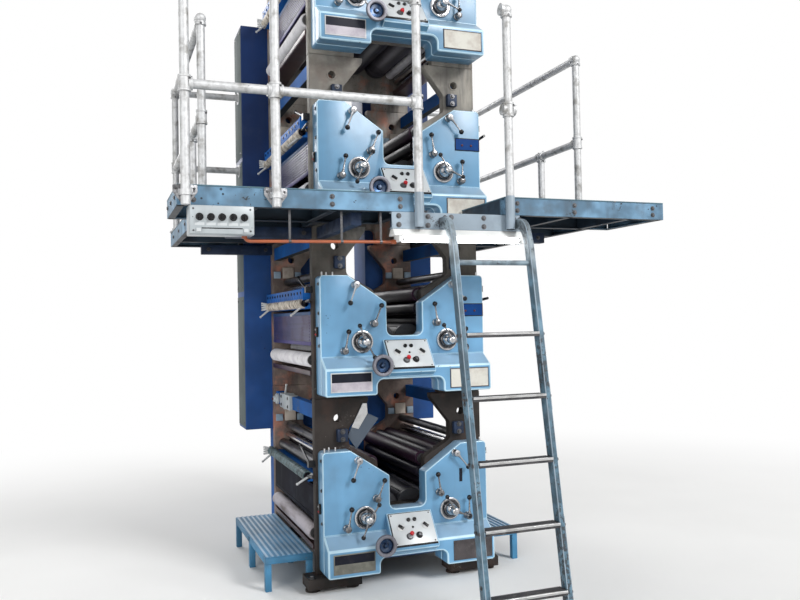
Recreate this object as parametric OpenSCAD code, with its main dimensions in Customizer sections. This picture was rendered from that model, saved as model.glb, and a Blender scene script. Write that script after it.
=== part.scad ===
// Four-high stacked offset printing tower: four perfecting units between cast
// side frames, with its service platform, rails, ladder and footboards.
// Lengths in millimetres. X runs along the press, Y from the operator side to
// the drive side, Z up from the floor.

/* [Tower] */
// Height of one printing unit, foot to foot
unit_pitch = 1080; // [1040:10:1160]
// Height of the frame castings above the floor
base_height = 90; // [80:5:120]
// Half of the width of a side frame
frame_half = 565; // [555:1:575]
// Thickness of each side frame
frame_thick = 70; // [50:5:90]
// Clear distance between the two side frames
frame_gap = 1140; // [1000:10:1300]
// Half of the width of the open web path in a side frame
notch_half = 160; // [155:1:162]
// Joint line between two stacked castings
joint_line = 0.4; // [0.2:0.1:0.8]

/* [Covers] */
// How far a cover stands in from the edge of the frame
cover_inset = 15; // [5:1:20]
// Depth of the upper part of a cover
cover_depth = 110; // [90:5:140]
// How far the lower box of a cover stands forward
box_depth = 100; // [90:5:105]
// Width of the sloping console under the notch
console_w = 300; // [290:1:302]
// Radius of a register dial
dial_r = 64; // [55:1:68]
// Distance of a dial from the middle of the press
dial_x = 285; // [283:1:290]

/* [Controls] */
// Length of a lever from its hub to its ball
lever_len = 120; // [100:1:122]
// Radius of a lever hub
hub_r = 22; // [18:1:26]
// Radius of the ball on a lever
ball_r = 16; // [12:1:17]
// Length of a register crank arm
crank_len = 108; // [95:1:110]
// Radius of the handwheel
wheel_r = 67; // [50:1:70]

/* [Cylinders] */
// Radius of the plate and blanket cylinders
cylinder_r = 95.2; // [92:0.1:95.3]
// Radius of the cylinder journals
journal_r = 22; // [16:1:26]
// Radius of the roller journals
pin_r = 14; // [10:1:16]

/* [Platform] */
// Height of the platform floor
deck_top = 2340; // [2330:1:2350]
// Height of the channels round the platform
channel_h = 105; // [95:1:110]
// Half of the length of the platform along the press
deck_half = 1450; // [1420:10:1600]
// Half of the width over the side walks
side_half = 1290; // [1250:10:1320]
// Front edge of the platform, ahead of the covers
deck_front = 700; // [650:10:750]
// Back edge of the side walks
deck_back = 1560; // [1540:5:1600]
// Height of the top rail above the platform
rail_h = 1060; // [1000:10:1100]
// Height of the middle rail above the platform
mid_rail_h = 490; // [450:10:540]
// Radius of the rail tube
rail_r = 24; // [20:1:26]

/* [Ladder] */
// Clear width between the ladder stiles
ladder_w = 430; // [400:5:440]
// Spacing of the treads
tread_pitch = 328; // [300:1:335]
// Depth of a tread
tread_depth = 80; // [60:5:100]

/* [Footboards] */
// Height of the footboard beside the press
step_h = 212; // [190:1:230]
// Width of the footboard
step_w = 300; // [240:10:340]

/* [Hidden] */
$fn = 32;
units = 4;
side_names = ["left", "right"];
lever_names = ["upper_lever", "middle_lever", "outer_lever"];
// Each lever: distance from the middle, height in the unit, then the angle from
// straight up of the left and of the right lever, turning towards the right
levers = [[326, 793, 200, 140], [211, 551, 22, -9], [404, 386, 11, 1]];
dial_z = 440;
wheel_x = -208;
wheel_z = 298;

// Running gap between two pieces that turn against each other
run_gap = 0.3;
// Front layers of the controls, measured forward from the cover face
lever_plane = 40;
hub_front = 50;
dial_front = 22;
crank_plane = 90;
wheel_back = 148;
wheel_root = 20;
wheel_front = 180;

frame_front = cover_depth;
frame_in = frame_front + frame_thick;
drive_in = frame_in + frame_gap;
drive_out = drive_in + frame_thick;

// Openings of a side frame, heights within the unit
web_low = 215;
web_high = 480;
shoulder_z = 760;
window_half = frame_half - 220;
window_low = 865;
window_high = 975;
neck_half = window_half - 130;
neck_z = 1140;
arch_half = 270;
arch_bar_z = 150;
hole_r = 25;
hole_x = frame_half - 145;
hole_z = 1045;

// Feet of the lowest frames
sole_low = 25;
sole_inner = arch_half + 30;
sole_outer = frame_half + 75;
pad_r = 45;

// Blocks on the frame face above the covers
block_x = window_half + 51;
block_half = 34;
block_low = 900;
block_high = 978;
block_t = 35;

// Pieces at the open sides, measured from the frame's edge
guard_t = 8;
guard_low = 419;
guard_high = 634;
pan_inner = frame_half - 125;
pan_outer = frame_half + 7;
pan_low = 228;
pan_high = 262;
tie_w = 50;
tie_low = 1040;
tie_high = 1130;

// Cover outline, heights within the unit
cover_half = frame_half - cover_inset;
cover_low = 115;
cover_top = 853;
horn_half = 370;
slot_half = 120;
slot_low = 474;
slot_high = 685;
foot_inner = 220;
bridge_low = 209;
box_high = 280;
ledge_high = 351;
name_t = 4;

// Deck hatch for the ladder and the beam under it
hatch_left = -200;
hatch_right = 355;
channel_w = 40;
plate_t = 8;
deck_low = deck_top - channel_h;
joist_pitch = 420;
beam_h = 92;
beam_left = -330;
beam_right = 450;
walk_inner = frame_half + 10;

// Rail posts and their clamps; the middle side post carries only the middle rail
clamp_r = 30;
clamp_half = 40;
post_y = -deck_front - rail_r - 4;
front_posts = [-deck_half + clamp_half, -960, hatch_left + 20, hatch_right + 20];
side_x = side_half - 40;
side_posts = [-80, 400, deck_back - 40];

// Drive side
housing_half = 770;
housing_gap = 200;
housing_low = 840;
housing_top = 3930;
housing_depth = 300;
gear_depth = 210;
housing_back = drive_out + housing_depth;
gear_back = drive_out + gear_depth;
gear_half = 545;

// Ladder line: the stile centre stands at ladder_foot on the floor and leans in
ladder_x = 190;
ladder_foot = -1200;
ladder_lean = 0.17;
stile_w = 30;
stile_d = 60;
treads = 5;
first_tread = 262;
rung_z = 1950;
bend_z = 2050;

front_y = ladder_foot - stile_d / 2;
centre_y = (front_y + housing_back) / 2;

control_names = [
    for (k = [1:units]) each concat(
        [for (n = lever_names, s = side_names) str(n, "_", s, "_", k)],
        [for (s = side_names) str("register_crank_", s, "_", k)],
        [str("handwheel_", k)])
];

function unit_z(k) = k * unit_pitch;
function unit(v) = v / norm(v);

// Arc that rounds corner b between its neighbours a and c
function corner(a, b, c, r, steps = 5) =
    let (u = unit(a - b), v = unit(c - b), half = acos(u * v) / 2,
         mid = b + unit(u + v) * r / sin(half),
         from = b + u * r / tan(half) - mid, to = b + v * r / tan(half) - mid,
         start = atan2(from.y, from.x),
         sweep = (atan2(to.y, to.x) - start + 540) % 360 - 180)
    [for (i = [0:steps]) mid + r * [cos(start + sweep * i / steps), sin(start + sweep * i / steps)]];

// Outline from [x, z, radius] points
function outline(p) = [
    for (i = [0:len(p) - 1])
        let (b = p[i], a = p[(i + len(p) - 1) % len(p)], c = p[(i + 1) % len(p)])
        each (b.z > 0 ? corner([a.x, a.y], [b.x, b.y], [c.x, c.y], b.z) : [[b.x, b.y]])
];

// Upright slab from y0 back to y1, drawn as its X-Z outline
module slab(y0, y1) {
    translate([0, y1, 0]) rotate([90, 0, 0]) linear_extrude(y1 - y0) children();
}

// Solid along X from x0 to x1, drawn as its Y-Z outline
module along_x(x0, x1) {
    translate([x0, 0, 0]) rotate([90, 0, 90]) linear_extrude(x1 - x0) children();
}

module box(x0, x1, y0, y1, z0, z1) {
    translate([x0, y0, z0]) cube([x1 - x0, y1 - y0, z1 - z0]);
}

// Round bar along Y
module rod_y(x, z, r, y0, y1) {
    translate([x, y1, z]) rotate([90, 0, 0]) cylinder(r = r, h = y1 - y0, $fn = 48);
}

// Round bar along X
module rod_x(y, z, r, x0, x1) {
    translate([x0, y, z]) rotate([0, 90, 0]) cylinder(r = r, h = x1 - x0);
}

module both_sides() {
    children();
    mirror([1, 0, 0]) children();
}

module each_unit() {
    for (k = [0:units - 1]) translate([0, 0, unit_z(k)]) children();
}

module place() {
    translate([0, -centre_y, 0]) children();
}

// Castings

module frame_outline() {
    low = base_height;
    high = base_height + unit_pitch - joint_line;
    difference() {
        translate([-frame_half, low]) square([2 * frame_half, high - low]);
        polygon(outline([
            [-notch_half, web_high, 60], [notch_half, web_high, 60], [notch_half, shoulder_z, 30],
            [window_half, window_low, 40], [window_half, window_high, 30], [neck_half, neck_z, 40],
            [neck_half, high + 1, 0], [-neck_half, high + 1, 0], [-neck_half, neck_z, 40],
            [-window_half, window_high, 30], [-window_half, window_low, 40],
            [-notch_half, shoulder_z, 30]]));
        polygon(outline([
            [-arch_half, low - 1, 0], [arch_half, low - 1, 0],
            [arch_half, web_low, 40], [-arch_half, web_low, 40]]));
        for (s = [-1, 1]) translate([s * hole_x, hole_z]) circle(r = hole_r);
    }
}

module operator_frames() color("dimgray") {
    each_unit() {
        slab(frame_front, frame_in) frame_outline();
        for (x = [-block_x, block_x])
            box(x - block_half, x + block_half, frame_front - block_t, frame_front, block_low, block_high);
    }
}

module drive_frames() color("dimgray") {
    each_unit() slab(drive_in, drive_out) frame_outline();
}

module levelling_feet() color("dimgray") {
    for (y = [[frame_front - 80, frame_in + 10], [drive_in - 10, drive_out + 50]]) both_sides() {
        box(sole_inner, sole_outer, y[0], y[1], sole_low, base_height);
        for (x = [sole_inner + pad_r, sole_outer - pad_r])
            translate([x, (y[0] + y[1]) / 2, 0]) cylinder(r = pad_r, h = sole_low + 1);
    }
}

module tie_bars() color("steelblue") {
    each_unit() both_sides()
        box(cover_half - tie_w, cover_half, frame_in, drive_in, tie_low, tie_high);
    for (y = [(frame_front + frame_in) / 2, (drive_in + drive_out) / 2])
        rod_x(y, arch_bar_z, 20, -arch_half, arch_half);
}

// Operator side

module cover_outline() {
    polygon(outline([
        [-cover_half, cover_low, 15], [-foot_inner, cover_low, 15], [-foot_inner, bridge_low, 40],
        [foot_inner, bridge_low, 40], [foot_inner, cover_low, 15], [cover_half, cover_low, 15],
        [cover_half, cover_top, 25], [horn_half, cover_top, 12], [slot_half, slot_high, 12],
        [slot_half, slot_low, 40], [-slot_half, slot_low, 40], [-slot_half, slot_high, 12],
        [-horn_half, cover_top, 12], [-cover_half, cover_top, 25]]));
}

// Points of the console top edge and lower edge, measured forward and up
console_back = [-8, 448];
console_lip = [-140, 276];
plate_len = 211;

module cover() {
    difference() {
        union() {
            slab(0, cover_depth) cover_outline();
            along_x(-cover_half, cover_half)
                polygon([[0, cover_low], [0, ledge_high], [-box_depth, box_high], [-box_depth, cover_low]]);
            along_x(-console_w / 2, console_w / 2)
                polygon([[0, bridge_low], [0, console_back.y], console_back, console_lip,
                         [console_lip.x, console_lip.y - 26], [-box_depth, bridge_low + 16],
                         [-box_depth, bridge_low]]);
        }
        slab(-box_depth - 1, cover_depth + 1) polygon(outline([
            [-foot_inner, cover_low - 1, 0], [foot_inner, cover_low - 1, 0],
            [foot_inner, bridge_low, 40], [-foot_inner, bridge_low, 40]]));
    }
}

module covers() color("lightsteelblue") {
    each_unit() {
        cover();
        rod_y(wheel_x, wheel_z, 20, -wheel_back + 30, -wheel_root);
    }
}

module control_plates() color("whitesmoke") {
    slope = atan2(console_back.y - console_lip.y, console_back.x - console_lip.x);
    each_unit() translate([0, console_lip.x, console_lip.y]) rotate([slope, 0, 0])
        box(-console_w / 2 + 10, console_w / 2 - 10, 3, plate_len, 0, 4);
}

module name_plates() color("lightgray") {
    each_unit() for (p = [[-387, 200, 131, 59], [396, 198, 134, 62]])
        box(p[0] - p[2], p[0] + p[2], -box_depth - name_t, -box_depth, p[1] - p[3], p[1] + p[3]);
    for (k = [1:units - 1])
        translate([0, 0, unit_z(k)]) box(cover_half - 178, cover_half - 2, -name_t, 0, 587, 670);
}

module register_dials() color("silver") {
    each_unit() both_sides() {
        rod_y(dial_x, dial_z, dial_r, -14, 0);
        rod_y(dial_x, dial_z, dial_r - 20, -dial_front, -13);
    }
}

// Lever on a hub, its ball at angle a from straight up
module lever(x, z, a) color("dimgray") translate([x, 0, z]) rotate([0, a, 0]) {
    rod_y(0, 0, hub_r, -hub_front, -run_gap);
    translate([0, -lever_plane, 0]) cylinder(r = 5.5, h = lever_len);
    translate([0, -lever_plane, lever_len]) sphere(r = ball_r);
}

// Angles of the two crank arms from straight up: left in odd and in even units,
// then right
crank_arms = [[36, 202], [-22, 151], [-30, 112]];

module register_crank(side, k) color("dimgray") {
    arms = crank_arms[side > 0 ? 2 : k % 2];
    translate([side * dial_x, 0, dial_z]) {
        rod_y(0, 0, 18, -crank_plane - 10, -dial_front - run_gap);
        for (a = arms) rotate([0, a, 0]) translate([0, -crank_plane, 0]) {
            cylinder(r = 6, h = crank_len);
            translate([0, 0, crank_len]) sphere(r = 14);
        }
    }
}

module handwheel() color("silver") {
    difference() {
        union() {
            rod_y(wheel_x, wheel_z, wheel_r, -wheel_front, -wheel_back);
            rod_y(wheel_x, wheel_z, 14, -wheel_back - 1, -wheel_back + 30 - run_gap);
        }
        rod_y(wheel_x, wheel_z, wheel_r - 6, -wheel_front - 1, -wheel_front + 20);
    }
}

// Cylinders and rollers

module roller(x, z, r, pin = pin_r) {
    end = 20;
    rod_y(x, z, r, frame_in + end, drive_in - end);
    rod_y(x, z, pin, frame_in, frame_in + end + 1);
    rod_y(x, z, pin, drive_in - end - 1, drive_in);
}

// Right-hand rollers, mirrored on the left: distance, height in the unit, radius
cylinders = [[cylinder_r + run_gap, 452], [3 * cylinder_r + 3 * run_gap, 440]];
inkers = [[231, 563, 36], [340, 563, 36], [285, 625, 46], [176, 648, 38], [357, 662, 34],
          [176, 738, 46], [262, 755, 34], [343, 760, 44], [428, 748, 34], [463, 802, 26]];
fountain_roller = [503, 735, 38];
dampers = [[405.2, 383, 36], [466, 338, 35], [550, 328, 46]];
idler = [455, 872, 28];

module printing_cylinders() color("silver") {
    each_unit() both_sides() for (c = cylinders) roller(c.x, c.y, cylinder_r, journal_r);
}

module ink_rollers() color("darkslategray") {
    each_unit() both_sides() {
        for (r = concat(inkers, [fountain_roller, idler])) roller(r.x, r.y, r.z);
    }
}

module dampening_rollers() color("white") {
    each_unit() both_sides() for (r = dampers) roller(r.x, r.y, r.z);
}

// Each fountain stands round its roller: blade and ribbed row of ink keys below,
// trough outside. The lowest trough on the left is missing.
key_row = [597, 686, 32];
blade_x = 480;
blade_low = 652;
blade_high = 688;
trough = [[548, 706], [612, 706], [612, 778], [548, 778]];

module ink_fountains() color("steelblue") {
    for (k = [0:units - 1], s = [-1, 1]) translate([0, 0, unit_z(k)])
        slab(frame_in, drive_in) scale([s, 1]) {
            translate([key_row.x, key_row.y]) circle(r = key_row.z);
            polygon([[blade_x, blade_low], [key_row.x, blade_low + 2], [key_row.x, blade_high],
                     [blade_x, blade_high]]);
            if (k > 0 || s > 0) polygon(trough);
        }
}

module water_pans() color("peru") {
    each_unit() both_sides() slab(frame_in, drive_in)
        polygon(outline([
            [pan_inner, pan_low, 12], [pan_outer, pan_low, 12],
            [pan_outer, pan_high, 0], [pan_inner, pan_high, 0]]));
}

module roller_guards() color("lightsteelblue") {
    each_unit() both_sides()
        box(frame_half - 1 - guard_t, frame_half - 1, frame_in, drive_in, guard_low, guard_high);
    window_guard();
}

// Plate with a bent edge on the frame face, left of the lowest window
module window_guard() {
    slab(frame_front - 10, frame_front) translate([-window_half, window_high])
        polygon([[88, 156], [115, 154], [120, 91], [193, 55], [43, -130], [-14, -45], [13, 9]]);
}

// Drive side

module drive_housing() color("navy") {
    both_sides()
        box(housing_gap, housing_half, drive_out, housing_back, housing_low, housing_top);
    box(-gear_half, gear_half, drive_out, gear_back, base_height, housing_low + 1);
}

// Platform

// One welded half of the platform, on the right
module deck_half_frame(hatch) {
    front = -deck_front;
    inner_back = -box_depth - 20;
    box(hatch, deck_half, front, inner_back, deck_top - plate_t, deck_top);
    box(walk_inner, side_half, inner_back - 1, drive_out - 5, deck_top - plate_t, deck_top);
    box(housing_half + 5, side_half, drive_out - 6, deck_back, deck_top - plate_t, deck_top);
    joist_top = deck_top - plate_t + 1;
    box(hatch, deck_half, front, front + channel_w, deck_low, joist_top);
    box(hatch, deck_half, inner_back - channel_w, inner_back, deck_low, joist_top);
    for (x = [hatch, deck_half - channel_w]) box(x, x + channel_w, front, inner_back, deck_low, joist_top);
    for (x = [walk_inner, side_half - channel_w])
        box(x, x + channel_w, inner_back - 1, drive_out - 5, deck_low, joist_top);
    for (x = [housing_half + 5, side_half - channel_w])
        box(x, x + channel_w, drive_out - 45, deck_back, deck_low, joist_top);
    box(housing_half + 5, side_half, deck_back - channel_w, deck_back, deck_low, joist_top);
    for (y = [inner_back + joist_pitch:joist_pitch:drive_out - channel_w])
        box(walk_inner, side_half, y, y + channel_w, deck_low, joist_top);
    for (x = [hatch + joist_pitch:joist_pitch:deck_half - joist_pitch / 2])
        box(x, x + channel_w, front, inner_back, deck_low, joist_top);
}

module decks() color("cadetblue") {
    deck_half_frame(hatch_right);
    mirror([1, 0, 0]) deck_half_frame(-hatch_left);
}

// Beam under the hatch, and the brackets that carry the platform on the frames
module deck_beam() color("slategray") {
    front = -deck_front;
    box(beam_left, beam_right, front, front + channel_w, deck_low - beam_h, deck_low);
    for (s = [-1, 1]) {
        x = s * (frame_half - 60);
        box(x - 30, x + 30, front + 2 * channel_w, frame_front, deck_low - 70, deck_low);
        y = (frame_in + drive_in) / 2;
        for (d = [frame_front, drive_in]) box(min(s * frame_half, s * (side_half - 200)),
            max(s * frame_half, s * (side_half - 200)), d, d + frame_thick, deck_low - 70, deck_low);
    }
    for (x = [beam_left + 40, beam_right - 80])
        box(x, x + channel_w, front + channel_w - 1, front + 2 * channel_w + 60, deck_low - 70, deck_low);
}

module rail_posts() color("gainsboro") {
    for (x = front_posts) front_post(x);
    both_sides() {
        for (y = side_posts) side_post(y);
        wall_flange();
    }
}

// Tube post clamped on the face of the front channel
module front_post(x) {
    low = deck_low - (x > beam_left ? 85 : 0);
    box(x - 45, x + 45, -deck_front - 8, -deck_front, deck_low + 10, deck_top - 10);
    translate([x, post_y, low]) cylinder(r = rail_r, h = deck_top + rail_h + clamp_r - low);
    for (h = [mid_rail_h, rail_h])
        rod_x(post_y, deck_top + h, clamp_r, x - clamp_half, x + clamp_half);
}

// Post on the side walk
module side_post(y) {
    top = y == side_posts[1] ? mid_rail_h : rail_h;
    translate([side_x, y, deck_top]) cylinder(r = 50, h = 10);
    translate([side_x, y, deck_top]) cylinder(r = rail_r, h = top + clamp_r);
    for (h = top == rail_h ? [mid_rail_h, rail_h] : [mid_rail_h])
        rod_y(side_x, deck_top + h, clamp_r, y - clamp_half, y + clamp_half);
    if (y == side_posts[2]) for (h = [mid_rail_h, rail_h])
        rod_x(y, deck_top + h, clamp_r, side_x - clamp_half, side_x);
}

// Sockets on the side of the drive housing
module wall_flange() {
    for (h = [mid_rail_h, rail_h])
        rod_x(side_posts[2], deck_top + h, clamp_r, housing_half, housing_half + 20);
}

module rails() color("gainsboro") {
    for (h = [mid_rail_h, rail_h]) {
        for (i = [0:1])
            rod_x(post_y, deck_top + h, rail_r, front_posts[i] + clamp_half, front_posts[i + 1] - clamp_half);
        both_sides()
            rod_x(side_posts[2], deck_top + h, rail_r, housing_half + 20, side_x - clamp_half);
    }
    both_sides() {
        for (i = [0:1])
            rod_y(side_x, deck_top + mid_rail_h, rail_r, side_posts[i] + clamp_half, side_posts[i + 1] - clamp_half);
        rod_y(side_x, deck_top + rail_h, rail_r, side_posts[0] + clamp_half, side_posts[2] - clamp_half);
    }
}

// Ladder

function ladder_y(z) = ladder_foot + ladder_lean * z;

module ladder_stiles() color("steelblue") {
    hook_z = deck_low - beam_h + stile_d + 6;
    d = stile_d / 2;
    path = outline([
        [ladder_y(0) - d, 0, 0], [ladder_y(0) + d, 0, 0], [ladder_y(bend_z) + d, bend_z, 200],
        [ladder_y(bend_z) + 70, hook_z - stile_d, 60], [-deck_front, hook_z - stile_d, 0],
        [-deck_front, hook_z, 0], [ladder_y(bend_z) + 25, hook_z, 110], [ladder_y(bend_z) - d, bend_z, 200]]);
    for (s = [-1, 1]) translate([ladder_x + s * (ladder_w + stile_w) / 2, 0, 0])
        along_x(-stile_w / 2, stile_w / 2) polygon(path);
}

module ladder_treads() color("dimgray") {
    for (i = [0:treads - 1]) {
        z = first_tread + i * tread_pitch;
        box(ladder_x - ladder_w / 2, ladder_x + ladder_w / 2,
            ladder_y(z) - tread_depth / 2, ladder_y(z) + tread_depth / 2, z - 24, z);
    }
    rod_x(ladder_y(rung_z), rung_z, 14, ladder_x - ladder_w / 2, ladder_x + ladder_w / 2);
}

// Fittings

module lamp() color("white") {
    top = deck_low - beam_h;
    y = -deck_front + channel_w / 2;
    along_x(beam_left + 5, beam_right + 45) polygon([
        [y - 20, top], [y + 20, top], [y + 45, top - 32], [y + 45, top - 38],
        [y - 45, top - 38], [y - 45, top - 32]]);
    rod_x(y, top - 38 - 14, 13, beam_left + 30, beam_right + 20);
    for (x = [beam_left + 25, beam_right + 5]) box(x, x + 20, y - 18, y + 18, top - 70, top - 37);
}

module switch_box() color("gainsboro") {
    left = -deck_half + 55;
    box(left, left + 320, -deck_front - 30, -deck_front + 90, deck_low - 145, deck_low);
}

module footboards() color("steelblue") {
    inner = frame_half + 5;
    outer = inner + step_w;
    front = frame_in + 10;
    back = drive_in - 10;
    both_sides() {
        box(inner, outer, front, back, step_h - 6, step_h);
        for (x = [inner, outer - 40]) box(x, x + 40, front, back, step_h - 46, step_h - 5);
        for (y = [front, (front + back) / 2 - 20, back - 40]) {
            box(inner, outer, y, y + 40, step_h - 46, step_h - 5);
            for (x = [inner, outer - 40]) box(x, x + 40, y, y + 40, 0, step_h - 45);
        }
    }
}

// Every piece, moved so that the origin is under the middle of the object

place() levelling_feet();
place() operator_frames();
place() drive_frames();
place() tie_bars();
place() covers();
place() control_plates();
place() name_plates();
place() register_dials();
place() printing_cylinders();
place() ink_rollers();
place() dampening_rollers();
place() ink_fountains();
place() water_pans();
place() roller_guards();
place() drive_housing();
place() decks();
place() deck_beam();
place() rail_posts();
place() rails();
place() ladder_stiles();
place() ladder_treads();
place() lamp();
place() switch_box();
place() footboards();
for (k = [1:units]) {
    for (i = [0:2], s = [0:1])
        place() translate([0, 0, unit_z(k - 1)])
                lever((2 * s - 1) * levers[i][0], levers[i][1], levers[i][2 + s]);
    for (s = [0:1])
        place() translate([0, 0, unit_z(k - 1)]) register_crank(2 * s - 1, k - 1);
    place() translate([0, 0, unit_z(k - 1)]) handwheel();
}
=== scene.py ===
# Four-high offset printing tower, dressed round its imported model.
# Lengths in metres. Pieces are made with y = 0 at the front of the covers, then set back onto the frame.
# What every unit repeats is made once, on the right of the lowest unit, and copied to the other places.
# Each make function gets the settings of its piece as s.
import math
from types import SimpleNamespace

import bmesh
import bpy
from mathutils import Matrix, Vector


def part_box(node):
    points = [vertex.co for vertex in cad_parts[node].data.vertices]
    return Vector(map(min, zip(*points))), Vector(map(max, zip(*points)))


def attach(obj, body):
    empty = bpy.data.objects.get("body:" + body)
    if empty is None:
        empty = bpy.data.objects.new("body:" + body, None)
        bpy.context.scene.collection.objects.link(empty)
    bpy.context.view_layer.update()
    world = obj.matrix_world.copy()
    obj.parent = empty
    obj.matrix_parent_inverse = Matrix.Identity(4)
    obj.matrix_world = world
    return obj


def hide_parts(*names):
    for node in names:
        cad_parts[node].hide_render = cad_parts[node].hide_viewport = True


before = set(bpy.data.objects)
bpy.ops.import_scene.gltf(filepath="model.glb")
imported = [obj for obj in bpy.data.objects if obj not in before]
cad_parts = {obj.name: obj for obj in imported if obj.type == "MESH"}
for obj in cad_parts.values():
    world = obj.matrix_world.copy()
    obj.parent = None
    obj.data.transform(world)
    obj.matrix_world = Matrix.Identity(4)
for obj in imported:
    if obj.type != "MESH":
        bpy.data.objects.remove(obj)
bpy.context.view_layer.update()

pitch, base = 1.08, .09  # height of a unit, top of the feet
frameHalf, frameFront, frameBack, driveFront, driveBack = .565, .11, .18, 1.32, 1.39
coverDepth, boxFront, deckTop, deckLow = .11, -.1, 2.34, 2.235
gapFront, gapBack = frameBack + .0005, driveFront - .0005  # what stands between the frames
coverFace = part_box("covers")[1].y - coverDepth

floors = [unit * pitch for unit in range(4)]
sides = (-1, 1)
once, bothSides, eachUnit = [(1, 0)], [(-1, 0), (1, 0)], [(1, floor) for floor in floors]
everywhere = [(side, floor) for floor in floors for side in sides]
lowest, upper = everywhere[:2], everywhere[2:]
front, back, up, down, left, right = (0, -1, 0), (0, 1, 0), (0, 0, 1), (0, 0, -1), (-1, 0, 0), (1, 0, 0)


def evenly(start, stop, count):
    return [start + (stop - start) * i / (count - 1) for i in range(count)]


def spaced(start, stop, step):
    return [start + step * i for i in range(math.ceil((stop - start) / step))]


# Nodes

def feed(node, socket, value):  # links a node or an output, or sets a plain value
    if isinstance(value, bpy.types.Node):
        value = value.outputs[0]
    if isinstance(value, bpy.types.NodeSocket):
        node.id_data.links.new(value, node.inputs[socket])
    else:
        node.inputs[socket].default_value = value


def put(tree, kind, values=(), **fields):
    node = tree.nodes.new(kind)
    for field, value in fields.items():
        setattr(node, field, value)
    for socket, value in dict(values).items():
        feed(node, socket, value)
    return node


def maths(tree, operation, *values):
    return put(tree, "ShaderNodeMath", enumerate(values), operation=operation)


def scaled(tree, value, by):
    return maths(tree, "MULTIPLY", value, by)


def between(tree, value, low, high, bottom=0, top=1, **fields):  # bottom at low, top at high
    return put(tree, "ShaderNodeMapRange", {
        "Value": value, "From Min": low, "From Max": high, "To Min": bottom, "To Max": top}, **fields)


def noise(tree, place, scale, detail, rough=.5):
    return put(tree, "ShaderNodeTexNoise", {"Vector": place, "Scale": scale, "Detail": detail, "Roughness": rough})


def mixColours(tree, factor, first, second):
    return put(tree, "ShaderNodeMix", {0: factor, 6: first, 7: second}, data_type="RGBA").outputs[2]


def mixValues(tree, factor, first, second):
    return put(tree, "ShaderNodeMix", {0: factor, 2: first, 3: second}, data_type="FLOAT")


# Shader groups

effects = {}


def startEffect(name, output, **inputs):
    tree = effects[name] = bpy.data.node_groups.new(name, "ShaderNodeTree")
    for label, start in inputs.items():
        kind = "NodeSocketVector" if isinstance(start, tuple) else "NodeSocketFloat"
        tree.interface.new_socket(label, in_out="INPUT", socket_type=kind).default_value = start
    tree.interface.new_socket(output, in_out="OUTPUT", socket_type="NodeSocketFloat")
    result = tree.nodes.new("NodeGroupOutput")
    return tree, tree.nodes.new("NodeGroupInput").outputs, put(tree, "ShaderNodeTexCoord").outputs["Object"], result


def makePatches():  # soft patches: fading, smudges and runs, by their stretch
    tree, given, place, result = startEffect("patch", "Mask", Scale=3, Stretch=(1, 1, 1), From=.5, To=.7, Detail=5)
    turned = put(tree, "ShaderNodeMapping", {"Vector": place, "Scale": given["Stretch"]})
    soft = noise(tree, turned, given["Scale"], given["Detail"], .6)
    feed(result, 0, between(tree, soft, given["From"], given["To"], interpolation_type="SMOOTHSTEP"))


def makeChips():  # small chips that gather in worn places
    tree, given, place, result = startEffect("chip", "Mask", Scale=60, Gather=4, Amount=.3)
    fine = noise(tree, place, given["Scale"], 4, .65)
    both = scaled(tree, fine, noise(tree, place, given["Gather"], 3))
    limit = between(tree, given["Amount"], 0, 1, .5, .18)
    feed(result, 0, between(tree, maths(tree, "SUBTRACT", both, limit), 0, .012))


def makeGrain():  # fine and coarse unevenness of a surface
    tree, given, place, result = startEffect("grain", "Height", Fine=400, Coarse=12, Share=.5)
    fine, coarse = noise(tree, place, given["Fine"], 2), noise(tree, place, given["Coarse"], 3)
    feed(result, 0, mixValues(tree, given["Share"], fine, coarse))


def makeSpots():  # dried drops of ink
    tree, given, place, result = startEffect("spot", "Mask", Scale=30, Size=.12, Where=2.5)
    cells = put(tree, "ShaderNodeTexVoronoi", {"Vector": place, "Scale": given["Scale"], "Randomness": 1})
    grown = between(tree, noise(tree, place, given["Where"], 2), .48, .68, 0, given["Size"])
    feed(result, 0, between(tree, maths(tree, "SUBTRACT", grown, cells.outputs["Distance"]), 0, .03))


for makeEffect in (makePatches, makeChips, makeGrain, makeSpots):
    makeEffect()


def useEffect(tree, name, **values):
    return put(tree, "ShaderNodeGroup", values, node_tree=effects[name])


# Materials

finish = {}
driedInk = (.012, .012, .016, 1)


def objectPart(tree, output, axis):  # one part of the object position or normal
    place = put(tree, "ShaderNodeTexCoord")
    return put(tree, "ShaderNodeSeparateXYZ", {0: place.outputs[output]}).outputs[axis]


def shade(colour, by=1):
    return tuple(part * by for part in colour[:3]) + (1,)


def startMaterial(name):
    material = finish[name] = bpy.data.materials.new(name)
    material.use_nodes = True
    tree = material.node_tree
    tree.nodes.clear()
    shader = tree.nodes.new("ShaderNodeBsdfPrincipled")
    put(tree, "ShaderNodeOutputMaterial", {0: shader})
    return tree, shader


def addBump(tree, shader, height, distance):
    feed(shader, "Normal", put(tree, "ShaderNodeBump", {"Height": height, "Distance": distance, "Strength": 1}))


paintBase = dict(
    fadeScale=2.2, dirt=(.05, .06, .07), runs=.35, runScale=9, smudge=.3, chipColour=(.10, .11, .12), spots=.12,
    rough=.34, grain=.0006, coat=.15, specular=.4, lower=None, under=1, shelter=None, settled=0)


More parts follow.
